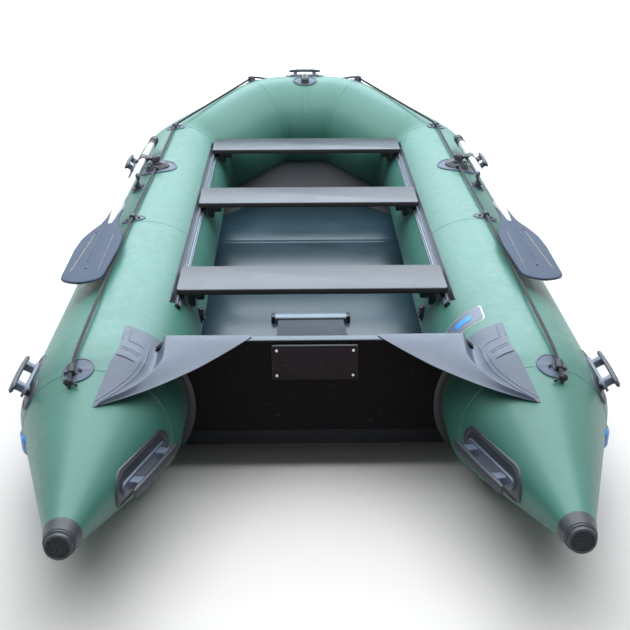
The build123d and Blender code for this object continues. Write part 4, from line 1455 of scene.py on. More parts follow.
class BOAT_OT_splash_skirts(bpy.types.Operator):
    """Builds the splash skirts: glued patch, welt, fold and free sheet"""
    bl_idname = "boat.splash_skirts"
    bl_label = "Splash skirts"
    bl_options = {"REGISTER", "UNDO"}

    thick = 0.0022
    sheet_steps = 14
    patch_steps = 8
    hem = 0.012

    def execute(self, context):
        sheet = self.sheet()
        patch = self.patch()
        piece = join([sheet, patch])
        for side, turn in (("starboard", None), ("port", MIRROR)):
            made = finish_piece(copy_of(piece, turn), f"{side}_skirt", material("grey_fabric"),
                                nodes=[f"{side}_splash_skirt"], angle=60)
        discard(piece)
        self.ridges(context.scene.boat_sizes.weld)
        return {"FINISHED"}

    def sheet(self):
        """Free sheet from the transom to the fold, then down to the welt."""
        rings = []
        for station, free, fold, fold_z, welt, _ in SKIRT_ROWS:
            row, start_z = [], free_edge_z(station)
            for i in range(self.sheet_steps + 1):
                t = i / self.sheet_steps
                sag = 0.0035 * sin(pi * t) * min(1, max(0, -station) * 9)
                row.append((free + (fold - free) * t, y(station), start_z + (fold_z - start_z) * t - sag))
            foot = skin_at_x(welt, station, 0.0016)
            low = skin_at_x((fold + welt) / 2, station, 0.0030)
            tuck = Vector((fold + 0.0035, y(station), max(fold_z - 0.006, low.z + 0.001)))
            row += [tuck, low, foot]
            rings.append(row)
        tip = skin_at_x(SKIRT_TIP[1], SKIRT_TIP[0], 0.0022)
        rings.append([tip] * len(rings[0]))
        return self.cloth(rings, "sheet")

    def patch(self):
        """Cloth glued to the tube, outboard of the fold and ahead of it."""
        rows = [(0.0780, 0.4480, 0.5520), (0.0700, 0.4475, 0.5518), (0.0500, 0.4470, 0.5515)]
        rows += [(station, welt - 0.014, outer) for station, _, _, _, welt, outer in SKIRT_ROWS]
        rings = []
        for station, inner, outer in rows:
            rings.append([skin_at_x(inner + (outer - inner) * i / self.patch_steps, station, 0.0012)
                          for i in range(self.patch_steps + 1)])
        rings.append([skin_at_x(SKIRT_TIP[1] + 0.002, SKIRT_TIP[0] - 0.002, 0.0012)] * (self.patch_steps + 1))
        return self.cloth(rings, "patch", 0.0014)

    def cloth(self, rings, name, thick=None):
        obj = sheet_mesh(rings, name)
        subdivide(obj, 2)
        return modify(obj, "SOLIDIFY", thickness=thick or self.thick, offset=0.0)

    def ridges(self, weld):
        """Welded ridges on the patches: a double welt, a hem and seams."""
        made = []
        welt = [(s, w + 0.004) for s, _, _, _, w, _ in SKIRT_ROWS[1:]]
        outer_welt = [(s, w + 0.011) for s, w in welt[2:]]
        lines = [welt, outer_welt, [(0.066, 0.532), (0.020, 0.530), (-0.010, 0.531)],
                 [(-0.010, 0.531), (-0.013, 0.500), (-0.022, 0.482)], [(0.020, 0.548), (-0.012, 0.545)],
                 [(-0.052, 0.545), (-0.056, 0.515), (-0.066, 0.490)],
                 [(-0.064, 0.545), (-0.068, 0.515), (-0.078, 0.495)],
                 [(-0.104, 0.550), (-0.106, 0.525), (-0.112, 0.500)]]
        for line in lines:
            made.append(self.ridge(line, weld))
        piece = both_sides(join(made))
        finish_piece(piece, "skirt_welds", material("grey_fabric"), angle=60)

    def ridge(self, line, weld):
        """A low rounded bead along points given as station and x."""
        spots = []
        for (s0, x0), (s1, x1) in zip(line, line[1:]):
            spots += [(s0 + (s1 - s0) * i / 6, x0 + (x1 - x0) * i / 6) for i in range(6)]
        spots.append(line[-1])
        centres = [skin_at_x(x, station, 0.0018) for station, x in spots]
        rings = []
        for i, centre in enumerate(centres):
            along = (centres[min(i + 1, len(centres) - 1)] - centres[max(i - 1, 0)]).normalized()
            out = Vector((centre.x - AXIS_X, 0, centre.z - TUBE_R)).normalized()
            side = along.cross(out).normalized()
            taper = 0.3 if i in (0, len(centres) - 1) else 1.0
            rings.append([centre + side * (cos(a) * 0.0022 * taper) + out * (sin(a) * weld * taper)
                          for a in (2 * pi * k / 8 for k in range(8))])
        return skin_of(rings, "ridge")


# ---------------------------------------------------------------------------
# Shared forms of the fittings
# ---------------------------------------------------------------------------
CAST_FROM, CAST_REACH = 0.1, 0.3     # of the rays that look for the skin


def skin_tree():
    """The tubes' skin, to be asked for its nearest points."""
    skin = bpy.data.objects["tube_skin"].data
    return BVHTree.FromPolygons([v.co for v in skin.vertices], [list(p.vertices) for p in skin.polygons])


def drape(obj, place_):
    """Lays a flat piece on the tubes' skin, each point as far out as it was high."""
    tree = skin_tree()
    out = place_.to_3x3() @ UP
    for vert in obj.data.vertices:
        px, py, rise = vert.co
        hit = tree.ray_cast(place_ @ Vector((px, py, CAST_FROM)), -out, CAST_REACH)[0]
        vert.co = (hit or place_ @ Vector((px, py, 0))) + out * rise
    return obj


def inset_rings(outline, profile, middle_rings=5):
    """A closed plate from an outline and a profile of (inset, height) pairs,
    with more rings towards its middle so that it can be draped."""
    half_x = max(px for px, _ in outline)
    half_y = max(py for _, py in outline)
    last, top = profile[-1]
    room = min(half_x, half_y) - last - 0.0015
    profile = list(profile) + [(last + room * i / middle_rings, top) for i in range(1, middle_rings + 1)]
    return skin_of([[Vector((px * (half_x - inset) / half_x, py * (half_y - inset) / half_y, rise))
                     for px, py in outline] for inset, rise in profile], "pad")


def pad(outline, place_, rise=0.004, double=False):
    """A glued pad with a rounded rim, or two, laid on the tubes."""
    profile = [(0, -0.0012), (0, rise * 0.55), (0.0012, rise), (0.0040, rise), (0.0054, rise * 0.62)]
    if double:
        profile += [(0.0072, rise * 0.62), (0.0084, rise * 0.95), (0.0104, rise * 0.95),
                    (0.0118, rise * 0.62)]
    return drape(inset_rings(outline, profile), place_)


def loft_x(stops, section, name="loft"):
    """A closed body along x: each stop is x, then what section(*rest) needs."""
    return skin_of([[Vector((stop[0], py, pz)) for py, pz in section(*stop[1:])] for stop in stops], name)


def soft_box(half_y, half_z, corner, middle_z=0.0):
    return [(py, pz + middle_z) for py, pz in rounded_box(half_y, half_z, corner, 4)]


# ---------------------------------------------------------------------------
# Lifeline
# ---------------------------------------------------------------------------
ROPE_R = 0.0052
ROPE_LIFT = 0.012            # rope's middle above the tubes' skin
ROPE_HALF = (
    skin_at_x(0.655, -0.238, ROPE_LIFT),
    skin_at_x(0.657, -0.160, 0.017),
    skin_at_x(0.658, -0.060, 0.015),
    skin_at_x(0.661, 0.985, ROPE_LIFT),
    skin_at_x(0.645, 1.635, ROPE_LIFT),
    Vector((0.6385, y(2.238), 0.4706)),
    Vector((0.638, y(2.292), 0.471)),
    Vector((0.6045, y(2.3325), 0.4834)),
    Vector((0.3035, y(2.6965), 0.5946)),
    Vector((0.270, y(2.737), 0.607)),
    Vector((0.230, y(2.771), 0.5943)),
    Vector((0.128, y(2.858), 0.562)),
)
ROPE_FRONT = Vector((0, y(2.909), 0.492))


def rope_line(step):
    """Evenly spaced points along the lifeline, read from its own smooth curve."""
    port_half = [Vector((-p.x, p.y, p.z)) for p in reversed(ROPE_HALF)]
    points = [*ROPE_HALF, ROPE_FRONT, *port_half]
    curve = bpy.data.curves.new("lifeline_route", "CURVE")
    curve.dimensions = "3D"
    curve.resolution_u = 40
    spline = curve.splines.new("NURBS")
    spline.points.add(len(points) - 1)
    for spot, point in zip(spline.points, points):
        spot.co = (*point, 1)
    spline.order_u = 3
    spline.use_endpoint_u = True
    route = bpy.data.objects.new("lifeline_route", curve)
    bpy.context.scene.collection.objects.link(route)
    drawn = [v.co.copy() for v in bpy.data.meshes.new_from_object(route).vertices]
    discard(route)
    spaced, left = [drawn[0]], step
    for start, end in zip(drawn, drawn[1:]):
        run = (end - start).length
        while run > 0 and left <= run:
            spaced.append(start.lerp(end, left / run))
            left += step
        left -= run
    return spaced


def rope_mesh(path, radius, name, strands=3, lay=0.034, around=15, depth=0.16):
    """Twisted strands along a path, with u in metres along it and v around it."""
    up = UP.copy()
    verts, faces = [], []
    count = len(path)
    step = (path[1] - path[0]).length
    for i, spot in enumerate(path):
        along = (path[min(i + 1, count - 1)] - path[max(i - 1, 0)]).normalized()
        side = along.cross(up).normalized()
        up = side.cross(along)
        twist = 2 * pi * i * step / lay
        for k in range(around):
            a = 2 * pi * k / around
            swell = abs(cos(strands * (a - twist) / 2))
            verts.append(spot + (side * cos(a) + up * sin(a)) * radius * (1 - depth + depth * swell))
    for row in range(count - 1):
        for k in range(around):
            a, b = row * around + k, row * around + (k + 1) % around
            faces.append((a, b, b + around, a + around))
    faces.append(tuple(range(around))[::-1])
    faces.append(tuple(range((count - 1) * around, count * around)))
    obj = mesh_object(name, verts, faces)
    mesh = obj.data
    layer = mesh.uv_layers.new(name="UVMap")
    for face in mesh.polygons:
        for corner, loop in enumerate(face.loop_indices):
            vert = mesh.loops[loop].vertex_index
            row, k = divmod(vert, around)
            if len(face.loop_indices) == 4 and k == 0 and corner in (1, 2):
                k = around
            layer.data[loop].uv = (row * step, k / around)
    edit(obj, "FACE")
    bpy.ops.mesh.normals_make_consistent(inside=False)
    return done()


def knot_path(size, steps=90):
    """An overhand knot, nearly closed."""
    turn = [2 * pi * i / steps for i in range(steps + 1)]
    return [Vector((sin(t) + 2 * sin(2 * t), cos(t) - 2 * cos(2 * t), -sin(3 * t))) * size for t in turn]


class BOAT_OT_lifeline(bpy.types.Operator):
    """Builds the lifeline, its stopper knots and their tails"""
    bl_idname = "boat.lifeline"
    bl_label = "Lifeline"
    bl_options = {"REGISTER", "UNDO"}

    def execute(self, context):
        rope = rope_mesh(rope_line(0.0024), ROPE_R, "rope")
        start = ROPE_HALF[0]
        knot_at = start - Vector((0, 0.004, 0))
        knot = rope_mesh([knot_at + Vector((p.x, p.z * 0.9, p.y)) for p in knot_path(0.0034)], 0.0040, "knot",
                         lay=0.030)
        tail = [cone_point(station, radians(angle), lift) for station, angle, lift in
                ((-0.240, 12.5, 0.015), (-0.244, 11.3, 0.012), (-0.248, 9.8, 0.0095), (-0.252, 8.4, 0.0080))]
        ends = both_sides(join([knot, rope_mesh(self.smoothed(tail), 0.0044, "tail")]))
        finish_piece(join([rope, ends]), "lifeline_rope", material("black_rope"),
                     nodes=["lifeline"], angle=70)
        return {"FINISHED"}

    @staticmethod
    def smoothed(points, share=6):
        """The points of a smooth run through a few given ones."""
        made = []
        for i in range(len(points) - 1):
            before, after = points[max(i - 1, 0)], points[min(i + 2, len(points) - 1)]
            start, end = points[i], points[i + 1]
            for k in range(share):
                t = k / share
                made.append(0.5 * (2 * start + (end - before) * t
                                   + (2 * before - 5 * start + 4 * end - after) * t**2
                                   + (3 * start - before - 3 * end + after) * t**3))
        return [*made, points[-1]]


# ---------------------------------------------------------------------------
# Fairleads
# ---------------------------------------------------------------------------
EYE_HOLE = 0.0060
EYE_CROWN = 0.0118
EYE_FOOT = 0.0150
EYE_STOPS = 8                # of its ridges and grooves


def eye_section(share):
    """Outline of a fairlead across the rope, round over the rope's hole."""
    crown = [(EYE_CROWN * share * cos(a), ROPE_LIFT + EYE_CROWN * share * sin(a))
             for a in (radians(-25 + 230 * i / 19) for i in range(20))]
    foot = EYE_FOOT * (0.6 + 0.4 * share)
    return crown + [(-foot, 0.003), (-foot, -0.006), (foot, -0.006), (foot, 0.003)]


def eye_body(half):
    """The fairlead's tunnel along x, ridged across, with the rope's hole through it."""
    count = EYE_STOPS
    stops = [(half, 0.80), (half * 0.86, 0.94)]
    stops += [(half * 0.86 * (1 - 2 * i / count), 1.0 - 0.09 * (i % 2)) for i in range(1, count)]
    stops += [(-half * 0.86, 0.94), (-half, 0.80)]
    rings = [[Vector((px, py, pz)) for py, pz in eye_section(share)] for px, share in stops]
    middle = Vector((0, 0, ROPE_LIFT))
    for px in (-half, 0.0, half):
        rings.append([])
        for point in rings[0]:
            aim = (Vector((0, point.y, point.z)) - middle).normalized()
            rings[-1].append(Vector((px, 0, 0)) + middle + aim * (EYE_HOLE * (1.25 if px else 1.0)))
    return skin_of([*rings, rings[0]], "eye", closed_ends=False)


def rope_frame(path, near):
    """Frame on the skin under the lifeline's point nearest to a spot."""
    i = min(range(1, len(path) - 1), key=lambda k: (path[k] - near).length_squared)
    foot = skin_tree().find_nearest(path[i])[0]
    out = (path[i] - foot).normalized()
    along = (path[i + 1] - path[i - 1]).normalized()
    return axes(path[i], along, out) @ Matrix.Translation((0, 0, -ROPE_LIFT))


class BOAT_OT_fairleads(bpy.types.Operator):
    """Builds the fairleads: oval glued pads with ridged eyes round the lifeline"""
    bl_idname = "boat.fairleads"
    bl_label = "Fairleads"
    bl_options = {"REGISTER", "UNDO"}

    stern_shift = (0.004, 0.012, 0)      # of the stern pad's middle from its eye
    bolt_out = 0.0215                    # from the eye's middle to its bolts
    # Station and x of each rope eye, its pad's half sizes, and the eye's half length.
    spots = (
        (-0.186, 0.656, 0.050, 0.045, 0.014),
        (0.985, 0.661, 0.030, 0.046, 0.013),
        (2.278, 0.638, 0.030, 0.046, 0.013),
        (2.727, 0.280, 0.030, 0.042, 0.013),
    )

    def execute(self, context):
        path = rope_line(0.004)
        pads, eyes, knobs = [], [], []
        for station, x, half_long, half_wide, half_eye in self.spots:
            near = min(path, key=lambda p: (Vector((x, y(station), p.z)) - p).length_squared)
            place_ = rope_frame(path, near)
            shift = self.stern_shift if station < 0 else (0, 0, 0)
            pads.append(pad(ellipse(half_long, half_wide, 40), place_ @ Matrix.Translation(shift)))
            eyes.append(apply_place(eye_body(half_eye), place_))
            for side in (-1, 1):
                bolt = lathe([(0.0042, 0.001), (0.0046, 0.0052), (0.0034, 0.0066), (0.0015, 0.0070)],
                             16, "bolt")
                knobs.append(apply_place(bolt, place_ @ Matrix.Translation((0, side * self.bolt_out, 0))))
        pads, eyes = both_sides(join(pads)), both_sides(join(eyes + [mend(knob) for knob in knobs]))
        front = rope_frame(path, ROPE_FRONT)
        pads = join([pads, pad(ellipse(0.035, 0.060, 40), front)])
        eyes = join([eyes, apply_place(eye_body(0.013), front)])
        finish_piece(pads, "fairlead_pads", material("pad_rubber"),
                     nodes=["fairleads", "bow_eye"], angle=50)
        finish_piece(eyes, "fairlead_eyes", material("moulded_rubber"), angle=45)
        return {"FINISHED"}


# ---------------------------------------------------------------------------
# Handles
# ---------------------------------------------------------------------------
class BOAT_OT_handles(bpy.types.Operator):
    """Builds the carry handles: double-rimmed pads, posts and dotted grips"""
    bl_idname = "boat.handles"
    bl_label = "Handles"
    bl_options = {"REGISTER", "UNDO"}

    grip_thick = 0.013
    half = 0.014
    cone_share = 0.46        # of the cone's length, to the middle of its handle
    bow_angle = radians(14)
    foot, waist, inset = 0.09, 0.055, 0.20       # shares of the grip's length

    def execute(self, context):
        reach = CONE_LENGTH * self.cone_share
        inward = CONE_ALONG.cross(UP).normalized()
        lean = atan2(TUBE_R - CONE_END_R, CONE_LENGTH)
        radius = TUBE_R + (CONE_END_R - TUBE_R) * self.cone_share
        out = inward * cos(lean) + CONE_ALONG * sin(lean)
        along = CONE_ALONG * cos(lean) - inward * sin(lean)
        cone_face = axes(STERN + CONE_ALONG * reach + inward * radius, along, out)
        places = [(tube_frame(-0.070, radians(57)), 0.230, 0.092, 0.186, 0.047),
                  (tube_frame(1.915, radians(50)), 0.210, 0.082, 0.166, 0.044),
                  (cone_face, 0.330, 0.104, 0.284, 0.049)]
        parts = [self.handle(*place_) for place_ in places]
        pads, frames, grips = [both_sides(join(list(made))) for made in zip(*parts)]
        front = self.handle(bow_frame(self.bow_angle), 0.200, 0.080, 0.164, 0.035)
        pads, frames, grips = [join(list(pair)) for pair in zip((pads, frames, grips), front)]
        nodes = ["port_handles", "starboard_handles", "bow_handle"]
        finish_piece(pads, "handle_pads", material("moulded_rubber"), nodes=nodes, angle=50)
        # The frames take a paler copy of the handles' rubber: a painted highlight.
        finish_piece(frames, "handle_frames", material("frame_rubber_highlight"), angle=45)
        finish_piece(grips, "handle_grips", material("moulded_rubber"), angle=45)
        self.bars()
        return {"FINISHED"}

    def handle(self, place_, pad_long, pad_wide, grip_long, rise):
        base = pad(slot_outline(pad_long / 2, pad_wide / 2, 10), place_, 0.0052, True)
        under = rise - self.grip_thick
        frame_parts = []
        for side in (-1, 1):
            middle = side * grip_long * (0.5 - self.inset)
            levels = []
            for i in range(9):
                t = i / 8
                waist = grip_long * (self.waist + (self.foot - self.waist) * abs(2 * t - 1) ** 2.2)
                level = -0.004 + (under + 0.010) * t
                levels.append([Vector((px + middle, py, level)) for px, py in
                               rounded_box(waist, self.half * 0.86, 0.005, 4)])
            frame_parts.append(skin_of(levels, "post"))
        bed = slot_outline(grip_long / 2 - 0.006, 0.019, 8)
        frame_parts.append(inset_rings(bed, [(0, 0.002), (0.0012, 0.0092), (0.003, 0.0098)], 2))
        frame_parts = apply_place(join(frame_parts), place_)
        grip = apply_place(self.grip(grip_long, rise), place_)
        return base, frame_parts, grip

    def grip(self, grip_long, rise):
        """A bowed bar with rounded ends and four staggered rows of small dots."""
        half, thick = grip_long / 2, self.grip_thick / 2
        stops = []
        for i in range(17):
            u = -1 + 2 * i / 16
            end = max(0.0, (abs(u) - 0.86) / 0.14)
            share = sqrt(max(0.0, 1 - end**2 * 0.86))
            stops.append((u * half, self.half * (0.55 + 0.45 * share), thick * share,
                          rise - thick - 0.0022 * u**2))
        bar = loft_x(stops, lambda wide, high, middle: soft_box(wide, high, min(wide, high) * 0.72, middle),
                     "grip")
        dots = []
        for row in range(4):
            across = -0.0078 + 0.0052 * row
            count = int(grip_long / 0.0105)
            for k in range(count):
                u = (k + 0.5 + 0.5 * (row % 2)) / (count + 0.5) * 1.5 - 0.75
                dots.append((u * half, across, rise - 0.0022 * u**2 - 0.0004 - 12 * across**2))
        return join([bar, studs(dots, 0.0016, 0.0013)])

    def bars(self):
        """Plain two-tone bars on the bow's handle."""
        colours = {"label_white": [], "accent_plastic": []}
        for i in range(5):
            finish = "label_white" if i % 2 else "accent_plastic"
            bar = bevel(block((0.018, 0.020, 0.0012), ((i - 2) * 0.0195, 0.0, 0.0354)), 0.0005, 1, 30)
            colours[finish].append(apply_place(bar, bow_frame(self.bow_angle)))
        for finish, made in colours.items():
            finish_piece(join(made), f"bow_bars_{finish}", material(finish))


def studs(spots, radius, rise, sides=6):
    """Many small low cones with flat tops, in one mesh."""
    verts, faces = [], []
    for px, py, pz in spots:
        first = len(verts)
        for share, level in ((1.0, -0.0006), (0.62, rise)):
            verts += [(px + radius * share * cos(a), py + radius * share * sin(a), pz + level)
                      for a in (2 * pi * k / sides for k in range(sides))]
        faces += [(first + k, first + (k + 1) % sides, first + sides + (k + 1) % sides, first + sides + k)
                  for k in range(sides)]
        faces.append(tuple(first + sides + k for k in range(sides)))
        faces.append(tuple(first + k for k in reversed(range(sides))))
    return mesh_object("studs", verts, faces)


# ---------------------------------------------------------------------------
# Stern caps, bow pad, tow ring, valves and label
# ---------------------------------------------------------------------------
class BOAT_OT_stern_caps(bpy.types.Operator):
    """Builds the moulded caps on the stern cones' ends"""
    bl_idname = "boat.stern_caps"
    bl_label = "Stern caps"
    bl_options = {"REGISTER", "UNDO"}

    tip = 0.064              # cap's length past the cone's end

    def execute(self, context):
        start = CONE_LIP - 0.003
        profile = [(0.0300, start), (0.0448, start), (0.0458, start + 0.0010), (0.0454, start + 0.0040),
                   (0.0434, start + 0.0100), (0.0376, 0.0400), (0.0386, 0.0412), (0.0382, 0.0436),
                   (0.0362, 0.0446), (0.0358, 0.0476), (0.0366, 0.0486), (0.0362, 0.0508),
                   (0.0334, 0.0518), (0.0328, 0.0536),
                   (0.0330, 0.0556), (0.0324, self.tip - 0.002), (0.0306, self.tip), (0.0262, self.tip),
                   (0.0252, self.tip - 0.0016), (0.0248, self.tip - 0.0040)]
        cap = lathe(profile, 72, "cap")
        pitch, reach = 0.0052, 0.0240
        grid = [(i * pitch, k * pitch, self.tip - 0.0040) for i in range(-6, 7) for k in range(-6, 7)
                if hypot(i * pitch, k * pitch) < reach]
        cap = join([cap, studs(grid, 0.0023, 0.0030, 4)])
        cap = apply_place(cap, axes(CONE_END, UP, CONE_ALONG))
        finish_piece(both_sides(cap), "stern_caps", material("moulded_rubber"),
                     nodes=["cone_caps"], angle=32)
        return {"FINISHED"}


class BOAT_OT_bow_fittings(bpy.types.Operator):
    """Builds the bow's cleat pad, the tow ring on its patch and the air valves"""
    bl_idname = "boat.bow_fittings"
    bl_label = "Bow fittings"
    bl_options = {"REGISTER", "UNDO"}

    def execute(self, context):
        self.cleat()
        self.tow_ring()
        self.valves()
        return {"FINISHED"}

    def cleat(self):
        """An oval pad with an upright rounded cleat, hollow at its after end."""
        place_ = bow_frame(radians(-14))
        base = pad(ellipse(0.061, 0.048, 48), place_, 0.005, True)
        levels = []
        for rise, grow in ((-0.002, 1.25), (0.004, 1.10), (0.010, 1.0), (0.020, 0.97), (0.025, 0.90),
                           (0.0270, 0.72)):
            levels.append([Vector((px, py, rise))
                           for px, py in rounded_box(0.018 * grow, 0.036 * grow, 0.0155 * grow, 6)])
        body = bevel(skin_of(levels, "cleat"), 0.0006, 1, 30)
        hollow = block((0.017, 0.030, 0.013), (0, 0.040, 0.0135))
        modify(body, "BOOLEAN", object=bevel(hollow, 0.003, 3, 30), operation="DIFFERENCE", solver="EXACT")
        discard(hollow)
        knobs = []
        for at in (-0.020, 0.008):
            knob = lathe([(0.0040, 0.025), (0.0046, 0.0280), (0.0036, 0.0296), (0.0016, 0.0300)], 20, "knob")
            knobs.append(apply_place(mend(knob), Matrix.Translation((0, at, 0))))
        finish_piece(base, "bow_pad", material("pad_rubber"), angle=50)
        finish_piece(apply_place(join([body, *knobs]), place_), "bow_cleat", material("moulded_rubber"),
                     angle=40)

    def tow_ring(self):
        place_ = bow_frame(radians(140))
        patch = pad(ellipse(0.062, 0.062, 56), place_, 0.004, True)
        strap = bevel(block((0.062, 0.033, 0.013), (0, 0, 0.0052)), 0.004, 3, 30)
        ribs = [bevel(block((0.058, 0.0022, 0.0016), (0, at, 0.0122)), 0.0007, 2, 30)
                for at in (0, 0.00992, -0.00992)]
        loop = ring(0.026, 0.004, (0, 0, 0.032), (pi / 2, 0, 0), 64, 16)
        finish_piece(patch, "tow_patch", material("pad_rubber"), nodes=["tow_ring"],
                     angle=50)
        finish_piece(apply_place(join([strap, *ribs]), place_), "tow_strap", material("moulded_rubber"),
                     angle=50)
        finish_piece(apply_place(loop, place_), "tow_loop", material("steel"), angle=60)

    def valves(self):
        """Three ribbed caps in their flanges, on the tubes' inner faces."""
        profile = [(0.0300, -0.0040), (0.0300, 0.0026), (0.0288, 0.0040), (0.0244, 0.0044), (0.0238, 0.0030),
                   (0.0222, 0.0030), (0.0216, 0.0040), (0.0206, 0.0108), (0.0194, 0.0120), (0.0130, 0.0120),
                   (0.0122, 0.0106)]
        made = []
        for place_ in (tube_frame(0.560, radians(-82)), bow_frame(radians(-104))):
            parts = [lathe(profile, 60, "valve"),
                     bevel(block((0.022, 0.0046, 0.0030), (0, 0, 0.0106)), 0.001, 2, 30)]
            for i in range(18):
                turn = Matrix.Rotation(2 * pi * i / 18, 4, "Z")
                rib = bevel(block((0.0022, 0.0024, 0.0074), (0.0210, 0, 0.0074)), 0.0007, 1, 30)
                parts.append(apply_place(rib, turn))
            made.append(apply_place(join(parts), place_))
        side, front = made
        finish_piece(join([both_sides(side), front]), "valves", material("moulded_rubber"),
                     nodes=["air_valves"], angle=40)


# ---------------------------------------------------------------------------
# Oarlocks and oars
# ---------------------------------------------------------------------------
LOCK_ANGLE = asin((0.645 - AXIS_X) / TUBE_R)
LOCK = tube_frame(1.635, LOCK_ANGLE)
OAR_OUT = 0.050              # oar's axis, outboard of the swivel's
OAR_LIFT = 0.042             # oar's axis, above the tube's skin
OAR_SPREAD = radians(1.26)
SHAFT_R = 0.017
BOSS_R = 0.0160
inboard = LOCK.to_3x3() @ Vector((0, 1, 0))
lock_up = LOCK.to_3x3() @ UP
OAR_AFT = FORWARD * -cos(OAR_SPREAD) - inboard * sin(OAR_SPREAD)
# The oar's own frame: x aft along the shaft, y outboard, z up.
OAR = axes(LOCK @ Vector((0, -OAR_OUT, OAR_LIFT)), OAR_AFT, lock_up)
ALONG_X = Matrix.Rotation(pi / 2, 4, "Y")    # turns a lathe's axis along x


def tube_ring(inner, outer, low, high, sides=48):
    """A short closed pipe about the z axis with softened edges."""
    soft = min(outer - inner, high - low) * 0.2
    section = [(inner, low), (outer - soft, low), (outer, low + soft), (outer, high - soft),
               (outer - soft, high), (inner, high), (inner, low)]
    turns = [2 * pi * i / sides for i in range(sides)]
    return skin_of([[Vector((r * cos(a), r * sin(a), h)) for a in turns] for r, h in section], "pipe",
                   closed_ends=False)


class BOAT_OT_oarlocks(bpy.types.Operator):
    """Builds the oarlocks: glued pads, moulded domes and the bosses on them"""
    bl_idname = "boat.oarlocks"
    bl_label = "Oarlocks"
    bl_options = {"REGISTER", "UNDO"}

    def execute(self, context):
        base = pad(ellipse(0.088, 0.084, 64), LOCK, 0.0050, True)
        dome = lathe([(0.0520, -0.0060), (0.0520, 0.0050), (0.0500, 0.0072), (0.0480, 0.0080),
                      (0.0466, 0.0112), (0.0430, 0.0152), (0.0370, 0.0188), (0.0310, 0.0208),
                      (0.0270, 0.0216), (BOSS_R + 0.003, 0.0228), (BOSS_R, 0.0262), (BOSS_R, 0.0500),
                      (BOSS_R - 0.0015, 0.0530), (BOSS_R - 0.0050, 0.0540),
                      (0.0090, 0.0540), (0.0082, 0.0520)], 80, "dome")
        tunnel = bevel(block((0.034, 0.021, 0.020), (-0.044, 0, 0.010)), 0.005, 3, 30)
        modify(dome, "BOOLEAN", object=tunnel, operation="DIFFERENCE", solver="EXACT")
        discard(tunnel)
        rim = self.bow(0.0385, 100, 350, 0.0022, 0.0180, 0.0022)
        arch = self.arch()
        slot = self.bow(0.0300, 95, 215, 0.0040, 0.0212, 0.0012)
        dots = studs([(-0.019, 0.033, 0.0206), (-0.026, -0.028, 0.0204)], 0.0030, 0.0028, 16)
        finish_piece(both_sides(base), "oarlock_pads", material("pad_rubber"),
                     nodes=["port_oarlock", "starboard_oarlock"], angle=50)
        finish_piece(both_sides(apply_place(join([dome, rim, arch]), LOCK)), "oarlock_domes",
                     material("moulded_rubber"), angle=38)
        finish_piece(both_sides(apply_place(slot, LOCK)), "oarlock_slots", material("black_rubber"))
        finish_piece(both_sides(apply_place(dots, LOCK)), "oarlock_dots", material("label_white"))
        return {"FINISHED"}

    def bow(self, radius, start, end, half, level, rise):
        """A flat-topped rib along an arc about the boss, tapered at its ends."""
        rings = []
        for i in range(25):
            t = i / 24
            a = radians(start + (end - start) * t)
            wide = half * max(0.15, sqrt(sin(pi * t)))
            rings.append([Vector((r * cos(a), r * sin(a), h)) for r, h in
                          ((radius - wide, level - 0.004), (radius + wide, level - 0.004),
                           (radius + wide * 0.8, level + rise), (radius - wide * 0.8, level + rise))])
        return skin_of(rings, "rib")

    def arch(self):
        """A raised horseshoe round the rope's way in, on the after side."""
        rings = []
        for px, grow in ((-0.0575, 0.94), (-0.0560, 1.0), (-0.0400, 1.06), (-0.0320, 0.96)):
            arc = [radians(-10 + 200 * i / 14) for i in range(15)]
            outer = [Vector((px, 0.0135 * grow * cos(a), 0.0085 + 0.0125 * grow * sin(a))) for a in arc]
            inner = [Vector((px, 0.0095 * cos(a), 0.0085 + 0.0090 * sin(a))) for a in reversed(arc)]
            rings.append(outer + inner)
        return skin_of(rings, "arch")


